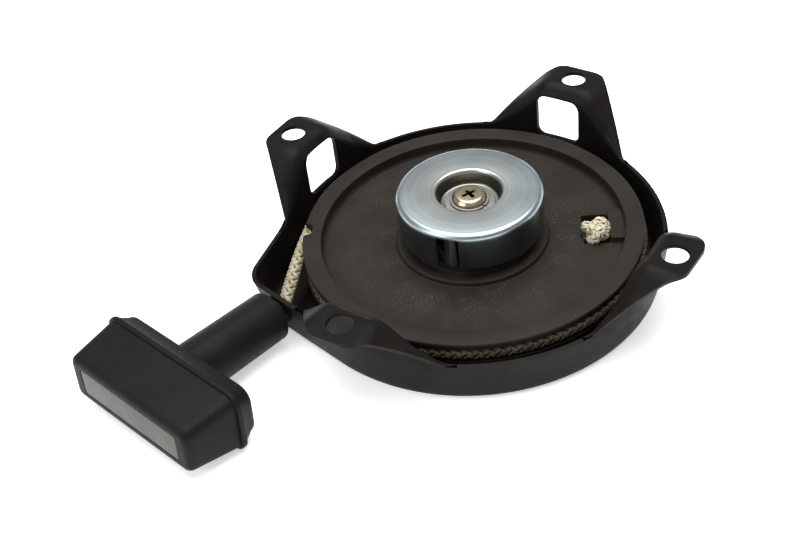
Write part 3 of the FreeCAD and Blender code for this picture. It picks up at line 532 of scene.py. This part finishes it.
# ---------------------------------------------------------------- housing
def plan_radius(azimuth, radius, nose):
    """Distance from the axis to the dish's outline: a circle, two walls tangent to it and a round nose."""
    middle = sum(NOSE_WALLS) / 2
    half = math.radians((NOSE_WALLS[1] - NOSE_WALLS[0]) / 2)
    off = abs(math.radians((azimuth - middle + 180) % 360 - 180))
    if off >= half:
        return radius
    centre = (radius - nose) / math.cos(half)
    rise = centre * math.sin(off)
    if rise < nose:
        reach = centre * math.cos(off) + math.sqrt(nose * nose - rise * rise)
        if math.atan2(reach * math.sin(off), reach * math.cos(off) - centre) <= half:
            return reach
    return radius / math.cos(half - off)


def wall_plan(azimuth, height, inset):
    """Distance from the axis to the dish's wall at a height, inset from its outside."""
    share = height / RIM_HEIGHT
    radius = BASE_RADIUS + (RIM_RADIUS - BASE_RADIUS) * share
    nose = NOSE_BASE_RADIUS + (NOSE_RADIUS - NOSE_BASE_RADIUS) * share
    return plan_radius(azimuth, radius - inset, nose - inset)


def smooth_min(first, second, blend):
    """The smaller of two numbers, rounded off where they meet."""
    return min(first, second) - max(blend - abs(first - second), 0.0) ** 2 / (4 * blend)


def flange_height(slope):
    """Height of a leg's flange where the tangent of the angle off the leg's axis is slope."""
    flank = TAB_TOP - FLANK_FALL * (slope - SHOULDER_SLOPE)
    return -smooth_min(-smooth_min(TAB_TOP, flank, 2.0), -RIM_HEIGHT, 1.7)


def leg_columns():
    """(angle off the leg's axis, reach of the flange) down one side of a leg, from tab to foot."""
    outline = rounded(LEG_OUTLINE, LEG_CORNERS, closed=False, steps=8)
    points = []
    for start, end in zip(outline, outline[1:]):
        pieces = max(1, int((end - start).length / 1.2))
        points += [start.lerp(end, step / pieces) for step in range(pieces)]
    points.append(outline[-1])
    return [(math.degrees(math.atan2(p[1], p[0])), p.length) for p in points]


def housing_columns():
    """Azimuths of the shell's columns, with the flange's reach and height where there is a leg."""
    side = leg_columns()
    foot = side[-1][0]
    columns = {}
    for leg in LEG_AZIMUTHS:
        for off, reach in side:
            for azimuth in (leg + off, leg - off):
                columns[round(azimuth % 360, 4)] = (reach, flange_height(math.tan(math.radians(off))))
    spaced = [step * 2.5 for step in range(144)] + [171.3 + step * 0.8 for step in range(24)]
    for azimuth in spaced:
        if min(abs((azimuth - leg + 180) % 360 - 180) for leg in LEG_AZIMUTHS) > foot + 0.5:
            columns[round(azimuth, 4)] = None
    return sorted(columns.items())


def wall_rows(azimuth):
    """Upper side of the sheet from the centre hole out to the rim, in one column."""
    boss = rounded([(5.0, 3.0), (13.4, 3.0), (15.4, SHEET), (20.0, SHEET)], [0, 0.9, 1.5, 0], closed=False)
    rows = [(point[0], point[1]) for point in boss]
    bend = FLOOR_BEND - SHEET
    flat_end = wall_plan(azimuth, 0, SHEET + bend)
    rows += [(20.0 + (flat_end - 20.0) * share, SHEET) for share in (0.33, 0.66, 0.95)]
    for step in range(7):
        angle = math.radians(90 * step / 6)
        inset = SHEET + bend * (1 - math.sin(angle))
        height = SHEET + bend * (1 - math.cos(angle))
        rows.append((wall_plan(azimuth, height, inset), height))
    rows += [(wall_plan(azimuth, height, SHEET), height) for height in (6.0, 9.0, 12.0, RIM_HEIGHT)]
    return rows


def flange_rows(azimuth, reach, height):
    """Upper side of a leg from the rim up its wall, over the bend and out along the flange."""
    inner = wall_plan(azimuth, RIM_HEIGHT, SHEET)
    width = max(reach - inner, 0.05)
    rise = max(height - RIM_HEIGHT, 0.02)
    bend = min(TAB_BEND, 0.95 * width, 0.95 * rise)
    rows = [(inner, RIM_HEIGHT + (rise - bend) * share) for share in (0.25, 0.5, 0.75, 1.0)]
    for step in range(1, 10):
        angle = math.radians(10 * step)
        rows.append((inner + bend * (1 - math.cos(angle)), RIM_HEIGHT + rise - bend * (1 - math.sin(angle))))
    start = inner + bend
    rows += [(start + (inner + width - start) * share, RIM_HEIGHT + rise) for share in (0.3, 0.65, 1.0)]
    return rows


def make_housing():
    """Pressed-steel dish with a rope nose and four legs that end in bolt tabs."""
    columns = housing_columns()
    count = len(columns)
    dish = [wall_rows(azimuth) for azimuth, leg in columns]
    depth = len(dish[0])
    verts = [polar(dish[c][row][0], columns[c][0], dish[c][row][1])
             for row in range(depth) for c in range(count)]
    faces = grid_faces(depth, count, wrap_columns=True)
    legs = {c: flange_rows(azimuth, *leg) for c, (azimuth, leg) in enumerate(columns) if leg}
    climb = len(next(iter(legs.values())))
    index = {}
    for c, rows in legs.items():
        index[c, 0] = (depth - 1) * count + c
        for row, (radius, height) in enumerate(rows, start=1):
            index[c, row] = len(verts)
            verts.append(polar(radius, columns[c][0], height))
    for c in legs:
        ahead = (c + 1) % count
        if ahead in legs:
            faces += [(index[c, row], index[ahead, row], index[ahead, row + 1], index[c, row + 1])
                      for row in range(climb)]
    shell = make_mesh("housing_shell", verts, faces)
    if shell.data.polygons[0].normal.z < 0:
        shell.data.flip_normals()
    thick = shell.modifiers.new("sheet", "SOLIDIFY")
    thick.thickness = SHEET * MM
    thick.offset = -1
    thick.use_even_offset = True
    bake(shell)
    cutters = []
    for leg in LEG_AZIMUTHS:
        middle = polar(BOLT_CIRCLE, leg, TAB_TOP - SHEET / 2)
        half, flare = SHEET / 2, 0.3
        corners = [(0, -4), (BOLT_HOLE + 3.4, -4), (BOLT_HOLE, -half + flare), (BOLT_HOLE, half - flare),
                   (BOLT_HOLE + 3.4, 4), (0, 4)]
        hole = lathe("hole", corners, [0, 0, 0.5, 0.5, 0, 0], 64, False, place=Matrix.Translation(middle))
        cutters.append(hole)
    for leg, offset in WINDOWS.items():
        place = turned(leg) @ Matrix.Translation((50, offset, WINDOW_LEVEL))
        window = rectangle(WINDOW_HALF_HEIGHT, WINDOW_HALF_WIDTH, WINDOW_CORNER, 6)
        cutters.append(prism("window", window, 0, 20, place @ ALONG_X))
    corners = [(0, -4), (4.0, -4), (4.0, 4), (0, 4)]
    cutters.append(lathe("eyelet_hole", corners, [0] * 4, 48, False, place=EYELET_PLACE))
    carve(shell, cutters)
    finish_piece(shell, FINISHES["black_paint"], "housing", ["housing"])


def make_post():
    """Turned centre post, its rivet head flush with the closed face."""
    corners = [(0, 0), (8.0, 0), (8.0, 1.6), (5.0, 1.6), (5.0, 3.0), (8.5, 3.0), (8.5, 10.1), (6.0, 10.1),
               (6.0, 25.5), (4.6, 25.5), (4.6, 27.1), (2.5, 27.1), (2.5, 14.0), (0, 14.0)]
    radii = [0, 0.7, 0, 0, 0, 0.4, 0.4, 0, 0.4, 0, 0.2, 0, 0, 0]
    post = lathe("center_post_turned", corners, radii, 128, False)
    finish_piece(post, FINISHES["steel"], "housing", ["center_post"])


def make_eyelet():
    """Flanged bush with a belled mouth, where the rope leaves the dish."""
    corners = [(3.0, 2.0), (4.9, 2.0), (4.9, 0.02), (3.98, 0.02), (3.98, -1.42), (4.9, -1.42),
               (4.9, -2.4), (3.0, -2.4)]
    eyelet = lathe("eyelet_bush", corners, [0.5, 0.7, 0, 0, 0, 0, 0.5, 0.45], 72, place=EYELET_PLACE)
    # Near-black finish: painted shade at the eyelet.
    finish_piece(eyelet, FINISHES["eyelet_steel"], "housing", ["rope_eyelet"])


# ---------------------------------------------------------------- pulley, cup and screw
def make_pulley():
    """Moulded rope reel with its hub, stepped outer flange, knot pocket and rewinding notch."""
    corners = [(6.05, 10.2), (6.05, 18.2), (20.0, 18.2), (20.0, 14.8), (24.5, 14.8), (24.5, 13.0),
               (48.4, 13.0), (48.4, 17.3), (54.5, 17.3), (54.5, 15.3), (50.2, 15.3), (50.2, 11.0),
               (34.0, 11.0), (34.0, 4.6), (47.3, 4.6), (53.3, 10.6), (54.5, 10.6), (54.5, 9.2),
               (53.9, 9.2), (47.9, 3.1), (32.6, 3.1), (32.6, 4.1), (31.0, 4.1), (31.0, 10.2)]
    radii = [0, 0.4, 0.8, 0.5, 0.7, 0.5, 1.8, 0.45, 0.6, 0.35, 0.3, 0.3, 0.5, 0.5, 0.8, 0.4, 0.5, 0.4,
             0.3, 0.8, 0.2, 0, 0.2, 0.3]
    reel = lathe("pulley_moulding", corners, radii, 256)
    turn = turned(POCKET_AZIMUTH)
    stop = prism("stop", rectangle(2.65, 7.2, 0.9), 12.6, 15.0, turn @ Matrix.Translation((46.15, 0, 0)))
    circle = [(PIN_RADIUS * math.cos(math.tau * k / 32), PIN_RADIUS * math.sin(math.tau * k / 32))
              for k in range(32)]
    pins = [prism("pin", circle, 17.8, 25.0, Matrix.Translation(polar(PIN_CIRCLE, azimuth)))
            for azimuth in PIN_AZIMUTHS]
    carve(reel, [stop] + pins, "UNION")
    pocket = prism("pocket", rectangle(4.25, 7.2, 0.8), 8.0, 16.5, turn @ Matrix.Translation((39.25, 0, 0)))
    notch_place = turned(NOTCH_AZIMUTH) @ Matrix.Translation((NOTCH_START, 0, 0))
    notch_shape = rounded([(0, -2.1), (4, -3.7), (4, 3.7), (0, 2.1)], [0.8, 0, 0, 0.8])
    notch = prism("notch", notch_shape, 14.2, 19.0, notch_place)
    carve(reel, [pocket, notch])
    finish_piece(reel, FINISHES["pulley_plastic"], "pulley", ["pulley"])


def make_cup():
    """Zinc-plated pawl retainer: a drawn cup with a dished centre and two slots for the dogs."""
    corners = [(21.7, 19.0), (23.2, 19.0), (23.2, 31.8), (10.6, 31.8), (9.3, 27.05), (4.68, 27.05),
               (4.68, 25.55), (10.8, 25.55), (12.1, 30.3), (21.7, 30.3)]
    radii = [0.3, 0.4, 1.9, 1.0, 0.9, 0.15, 0.15, 1.6, 0.9, 0.6]
    cup = lathe("pawl_retainer_cup", corners, radii, 256, steps=7)
    cutters = []
    for azimuth in SLOT_AZIMUTHS:
        place = turned(azimuth) @ Matrix.Translation((20.4, 0, SLOT_LEVEL))
        cutters.append(prism("slot", rectangle(6.05, 3.55, 0.5), 0, 4.0, place @ ALONG_X))
    carve(cup, cutters)
    finish_piece(cup, FINISHES["zinc"], "retainer", ["pawl_retainer"])


def make_screw():
    """Pan-head screw with a tapered cross."""
    corners = [(0, 14.0), (2.0, 14.0), (2.45, 14.6), (2.45, 28.6), (5.5, 28.6), (5.5, 29.3),
               (4.4, 30.5), (0, 30.6)]
    screw = lathe("retainer_screw_turned", corners, [0, 0, 0, 0.2, 0.3, 0.6, 1.4, 0], 96, False)
    cutters = []
    for azimuth in CROSS_AZIMUTHS:
        top = [(-2.8, -0.65), (2.8, -0.65), (2.8, 0.65), (-2.8, 0.65)]
        sections = [[(x * k, y * w, z) for x, y in top] for k, w, z in ((0.3, 0.5, 28.9), (1.0, 1.0, 30.7))]
        cutters.append(loft("cross", sections, turned(azimuth)))
    carve(screw, cutters)
    finish_piece(screw, FINISHES["screw"], "housing", ["retainer_screw"])


def make_washers():
    """Flat washer and split lock washer under the screw's head."""
    corners = [(2.6, 27.1), (8.1, 27.1), (8.1, 27.9), (2.6, 27.9)]
    flat = lathe("flat_washer_disc", corners, [0.1, 0.25, 0.25, 0.1], 96)
    finish_piece(flat, FINISHES["steel"], "housing", ["flat_washer"])
    corners = [(2.6, 27.9), (6.2, 27.9), (6.2, 28.6), (2.6, 28.6)]
    lock = lathe("lock_washer_ring", corners, [0.1, 0.15, 0.15, 0.1], 96)
    slant = Matrix.Rotation(0.4, 4, "Z")
    split = prism("split", rectangle(3.0, 0.3, 0), 27.0, 30.0,
                  turned(SPLIT_AZIMUTH) @ Matrix.Translation((5, 0, 0)) @ slant)
    carve(lock, [split])
    finish_piece(lock, FINISHES["steel"], "housing", ["lock_washer"])


# ---------------------------------------------------------------- rope
def spline(points, steps=8):
    """Points along the smooth NURBS line whose control points are given."""
    data = bpy.data.curves.new("route", "CURVE")
    data.dimensions = "3D"
    data.resolution_u = steps
    line = data.splines.new("NURBS")
    line.points.add(len(points) - 1)
    for control, point in zip(line.points, points):
        control.co = (*point, 1)
    line.order_u = 3
    line.use_endpoint_u = True
    holder = bpy.data.objects.new("route", data)
    bpy.context.scene.collection.objects.link(holder)
    bpy.context.view_layer.update()
    mesh = bpy.data.meshes.new_from_object(holder.evaluated_get(bpy.context.evaluated_depsgraph_get()))
    found = np.array([vert.co for vert in mesh.vertices])
    bpy.data.objects.remove(holder)
    return found


def even(points, spacing):
    """The same line with evenly spaced points."""
    lengths = np.concatenate([[0], np.cumsum(np.linalg.norm(np.diff(points, axis=0), axis=1))])
    count = max(4, int(round(lengths[-1] / spacing)) + 1)
    at = np.linspace(0, lengths[-1], count)
    return np.stack([np.interp(at, lengths, points[:, k]) for k in range(3)], axis=1), at


def unit(rows):
    """Rows scaled to length 1."""
    return rows / np.maximum(np.linalg.norm(rows, axis=1, keepdims=True), 1e-12)


def line_frames(points, hint):
    """Normals and binormals along a line, carried without twist from the hint."""
    tangents = unit(np.gradient(points, axis=0))
    normals = np.zeros_like(points)
    normal = np.array(hint, float)
    for index, tangent in enumerate(tangents):
        normal = normal - tangent * normal.dot(tangent)
        normal /= np.linalg.norm(normal)
        normals[index] = normal
    return normals, np.cross(tangents, normals)


def tube(line, outward, half_width, half_height, sides):
    """Points and faces of a flat-ended tube along a line, its height facing outward."""
    tangents = unit(np.gradient(line, axis=0))
    across = unit(np.cross(tangents, outward))
    lift = np.cross(across, tangents)
    rings = []
    for side in range(sides):
        angle = math.tau * side / sides
        rings.append(line + across * (half_width * math.cos(angle)) + lift * (half_height * math.sin(angle)))
    verts = np.stack(rings, axis=1).reshape(-1, 3)
    count = len(line) * sides
    ends = [tuple(range(sides)), tuple(range(count - 1, count - sides - 1, -1))]
    return verts, grid_faces(len(line), sides, wrap_columns=True) + ends


def add_tube(verts, faces, extra):
    """Adds a tube's points and faces to lists of them."""
    start = len(verts)
    verts.extend(extra[0])
    faces += [tuple(start + k for k in face) for face in extra[1]]


def braid(points, at, first=0, last=None, radius=ROPE_RADIUS, pitch=BRAID_PITCH):
    """Points and faces of a braided rope on a line, between two of the line's points.

    Strands run both ways round the rope, over one and under one, each of two yarns side by side."""
    scale = radius / ROPE_RADIUS
    normals, binormals = line_frames(points, UP)
    piece = slice(first, last)
    verts, faces = [], []
    wave = np.cos(np.pi * 2 * BRAID_STRANDS * at / pitch)
    half_width, half_height = YARN_HALF_WIDTH * scale, YARN_HALF_HEIGHT * scale
    for way in (1, -1):
        for strand in range(BRAID_STRANDS):
            for lane in (-0.5, 0.5):
                turn = (way * math.tau * at / pitch + math.tau * strand / BRAID_STRANDS
                        + lane * YARN_APART * way)
                level = (YARN_LEVEL + YARN_WAVE * way * wave) * scale
                outward = normals * np.cos(turn)[:, None] + binormals * np.sin(turn)[:, None]
                line = points + outward * level[:, None]
                add_tube(verts, faces, tube(line[piece], outward[piece], half_width, half_height, 6))
    core = CORE_RADIUS * scale
    add_tube(verts, faces, tube(points[piece], normals[piece], core, core, 12))
    return verts, faces


def mark_crown(piece, line, radius=ROPE_RADIUS):
    """Stores how far each of a rope's points stands out of its core: 0 in the gaps, 1 on the tufts; the yarn
    finishes paint shade in the gaps by it.
    """
    tree = kdtree.KDTree(len(line))
    for index, point in enumerate(line):
        tree.insert(Vector(point) * MM, index)
    tree.balance()
    found = [tree.find(vert.co)[2] / (radius * MM) for vert in piece.data.vertices]
    crown = piece.data.attributes.new("crown", "FLOAT", "POINT")
    crown.data.foreach_set("value", [min(max((share - CROWN_FLOOR) / CROWN_RISE, 0.0), 1.0)
                                       for share in found])


def rope_leaving():
    """The corner behind the eyelet, and the azimuth where the rope leaves the reel."""
    corner = OUTLET - AHEAD * 2.2
    azimuth = math.degrees(math.atan2(corner.y, corner.x)) % 360
    return corner, azimuth - math.degrees(math.acos(REEL_RADIUS / math.hypot(corner.x, corner.y)))


def wound_point(back, leaving):
    """Centre of the wound rope at so many turns back from where it leaves the reel."""
    azimuth = leaving - 360 * back
    if back < CLIMB[0]:
        return polar(REEL_RADIUS - OUTER_TAPER * back, azimuth, REEL_HEIGHT)
    if back < CLIMB[1]:
        share = (back - CLIMB[0]) / (CLIMB[1] - CLIMB[0])
        start = polar(REEL_RADIUS - OUTER_TAPER * CLIMB[0], azimuth, REEL_HEIGHT)
        return start.lerp(polar(INNER_RADIUS, azimuth, INNER_HEIGHT), share)
    return polar(INNER_RADIUS - WRAP_PITCH * (back - CLIMB[1]), azimuth, INNER_HEIGHT)


def make_rope():
    """The rope on the reel, its run to the eyelet, and the length that pays out to the handle."""
    corner, leaving = rope_leaving()
    outer = [wound_point(OUTER_TURNS * (1 - step / 50), leaving) for step in range(50)]
    leave = polar(REEL_RADIUS, leaving, REEL_HEIGHT)
    direction = polar(1, leaving + 90)
    arrive = (corner - (leave + direction * 14.0)).normalized()
    route = outer + [leave, leave + direction * 14.0, corner - arrive * 4.0, corner, OUTLET + AHEAD * 1.6]
    points, at = even(spline(route), 0.4)
    apart = np.linalg.norm(points - np.array(leave), axis=1)
    split = int(np.argmin(apart))
    verts, faces = braid(points, at, 0, split + 1)
    inner = [wound_point(INNER_START + (WRAPS - INNER_START) * step / 96, leaving) for step in range(97)]
    inner.append(inner[-1] + Vector((0, 0, 2.2)))
    inner.append(inner[-2] + Vector((0, 0, 4.4)))
    line = even(spline(inner, 4), 1.6)[0]
    add_tube(verts, faces, tube(line, line_frames(line, UP)[0], WOUND_RADIUS, WOUND_RADIUS, 12))
    wound = make_mesh("rope_on_reel", verts, faces)
    mark_crown(wound, np.concatenate([points[:split + 1], line]))
    # The wound rope takes the darker copy: partly dirt, partly painted shade.
    finish_piece(wound, FINISHES["rope_dirt_and_shade"], "pulley", ["rope_wound"], 60)
    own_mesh(wound)
    run = make_mesh("rope_to_eyelet", *braid(points, at, split))
    mark_crown(run, points[split:])
    finish_piece(run, FINISHES["rope"], "housing", (), 60)

    ends = np.array([OUTLET - AHEAD * 0.6, OUTLET + AHEAD * 5.3])
    line = even(ends, 0.1)[0]
    paid = make_mesh("rope_paid_out", *tube(line, line_frames(line, UP)[0], PAID_RADIUS, PAID_RADIUS, 48))
    finish_piece(paid, FINISHES["rope_paid_out"], None, ["rope_run"], 60)
    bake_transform(paid)


def knot_line(scale, height):
    """A trefoil: the overhand knot's line, about Z."""
    points = []
    for step in range(61):
        t = math.tau * step / 60
        points.append(Vector((scale * (math.sin(t) + 2 * math.sin(2 * t)),
                              scale * (math.cos(t) - 2 * math.cos(2 * t)), -height * math.sin(3 * t))))
    return np.array(points)


def make_knot(name, place, body, node, finish="rope", scale=1.0):
    """A tight overhand knot of the same rope."""
    points, at = even(knot_line(KNOT_SIZE * scale, KNOT_HEIGHT * scale), 0.35)
    pitch = at[-1] / round(at[-1] / (KNOT_PITCH * scale))
    verts, faces = braid(points, at, radius=KNOT_ROPE_RADIUS * scale, pitch=pitch)
    knot = make_mesh(name, verts, faces, place)
    mark_crown(knot, [place @ Vector(point) for point in points], KNOT_ROPE_RADIUS * scale)
    finish_piece(knot, FINISHES[finish], body, [node], 60)


def make_tail():
    """The rope inside the handle's stem."""
    ends = np.array([OUTLET + AHEAD * 5.4, OUTLET + AHEAD * 41.6])
    points, at = even(ends, 0.45)
    tail = make_mesh("rope_in_stem", *braid(points, at))
    mark_crown(tail, points)
    finish_piece(tail, FINISHES["rope"], "handle", ["rope_tail"], 60)


# ---------------------------------------------------------------- T handle
def bar_section(out, half_width, half_height, corner):
    """A round-cornered cross-section of the handle, at a distance along its own X axis."""
    return [(out, y, z) for y, z in rectangle(half_width, half_height, corner, 6)]


def edge_sections(out, half_width, half_height, corner, radius, way, steps=5):
    """Sections that round the end of a bar: way is +1 at its front end and -1 at its rear end."""
    sections = []
    for step in range(steps + 1):
        angle = math.radians(90 * step / steps)
        inset = radius * (1 - math.cos(angle))
        sections.append(bar_section(out - way * radius * (1 - math.sin(angle)), half_width - inset,
                                    half_height - inset, max(corner - inset, 0.4)))
    return sections if way > 0 else sections[::-1]


def make_handle():
    """T handle in two halves with a lip at the seam, a round stem and a plate in its front face."""
    rear = edge_sections(35.25, 27.6, 8.8, BAR_CORNER, 2.0, -1)
    rear.append(bar_section(40.65, 28.8, 10.5, BAR_CORNER))
    stem = loft("handle_rear", rear, HANDLE_PLACE)
    corners = [(STEM_BORE, 3.1), (8.15, 3.1), (8.5, 38.5), (STEM_BORE, 38.5)]
    barrel = lathe("tube", corners, [0.5, 0.8, 0, 0], 96, place=STEM_PLACE)
    corners = [(0, 20), (STEM_BORE, 20), (STEM_BORE, 50), (0, 50)]
    bore = lathe("bore", corners, [0] * 4, 48, False, place=STEM_PLACE)
    carve(stem, [bore])
    carve(stem, [barrel], "UNION")
    finish_piece(stem, FINISHES["handle_plastic"], "handle", ["handle_stem"])

    body = [bar_section(41.9, 28.2, 10.1, FRONT_CORNER)]
    body += edge_sections(59.45, 26.5, 8.2, FRONT_CORNER, 2.4, 1)
    grip = loft("handle_front", body, HANDLE_PLACE)
    lip_sections = edge_sections(40.67, *LIP, 0.4, -1, 3)
    lip_sections += edge_sections(42.45, *LIP, 0.5, 1, 3)
    lip = loft("lip", lip_sections, HANDLE_PLACE)
    carve(grip, [lip], "UNION")
    corners = [(0, 39), (6.8, 39), (6.8, 54.25), (0, 54.25)]
    chamber = lathe("chamber", corners, [0] * 4, 48, False, place=STEM_PLACE)
    seat = loft("seat", [bar_section(out, *SEAT, 0.8) for out in (58.65, 62)], HANDLE_PLACE)
    carve(grip, [chamber, seat])
    finish_piece(grip, FINISHES["handle_plastic"], "handle", ["handle_grip"])

    plate = [bar_section(58.67, *PLATE, 0.7)] + edge_sections(59.35, *PLATE, 0.7, 0.25, 1, 3)
    insert = loft("front_plate", plate, HANDLE_PLACE)
    finish_piece(insert, FINISHES["insert_plastic"], "handle", ["handle_insert"])


# ---------------------------------------------------------------- the whole scene
bpy.context.scene.view_settings.view_transform = "Standard"
make_camera()
make_world()
make_light("overhead", (0.1, 0.15, 1.5), 1.6, 1.6, 42)
make_light("left", (-1.3, -0.5, 0.9), 0.9, 0.9, 10)

floor_corners = [(x * FLOOR_REACH, y * FLOOR_REACH, 0) for x, y in ((-1, -1), (1, -1), (1, 1), (-1, 1))]
floor = make_mesh("floor", floor_corners, [(0, 1, 2, 3)])
floor_finish = Finish("floor", Roughness=0.9, Emission_Color=(1, 1, 1, 1), Emission_Strength=0.5)
floor_tone = floor_finish.mix(floor_finish.noise(600.0), (0.86, 0.86, 0.86, 1), (0.88, 0.88, 0.88, 1))
floor_finish.paint("Base Color", floor_tone)
floor.data.materials.append(floor_finish.material)

make_housing()
make_post()
make_eyelet()
make_pulley()
make_cup()
make_screw()
make_washers()
make_rope()
make_tail()
knot_place = axes(polar(*POCKET_KNOT), polar(1, POCKET_KNOT[1]))
# The pocket's knot takes the lighter copy of the rope: painted light.
make_knot("knot_on_pulley", knot_place, "pulley", "pulley_knot", "rope_painted_light", 1.06)
knot_place = HANDLE_PLACE @ Matrix.Translation((HANDLE_KNOT_ALONG, 0, 0))
make_knot("knot_in_handle", knot_place, "handle", "handle_knot")
make_handle()

CARRIED_OVER = {
    "spring_keeper": "steel", "rewind_spring": "spring_steel",
    "starter_dog_a": "steel", "starter_dog_b": "steel",
    "dog_spring_a": "spring_steel", "dog_spring_b": "spring_steel", "brake_washer": "steel",
    "brake_spring": "spring_steel", "rope_staple": "steel",
}
for node, finish_name in CARRIED_OVER.items():
    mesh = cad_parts[node].data
    mesh.materials.clear()
    mesh.materials.append(FINISHES[finish_name])
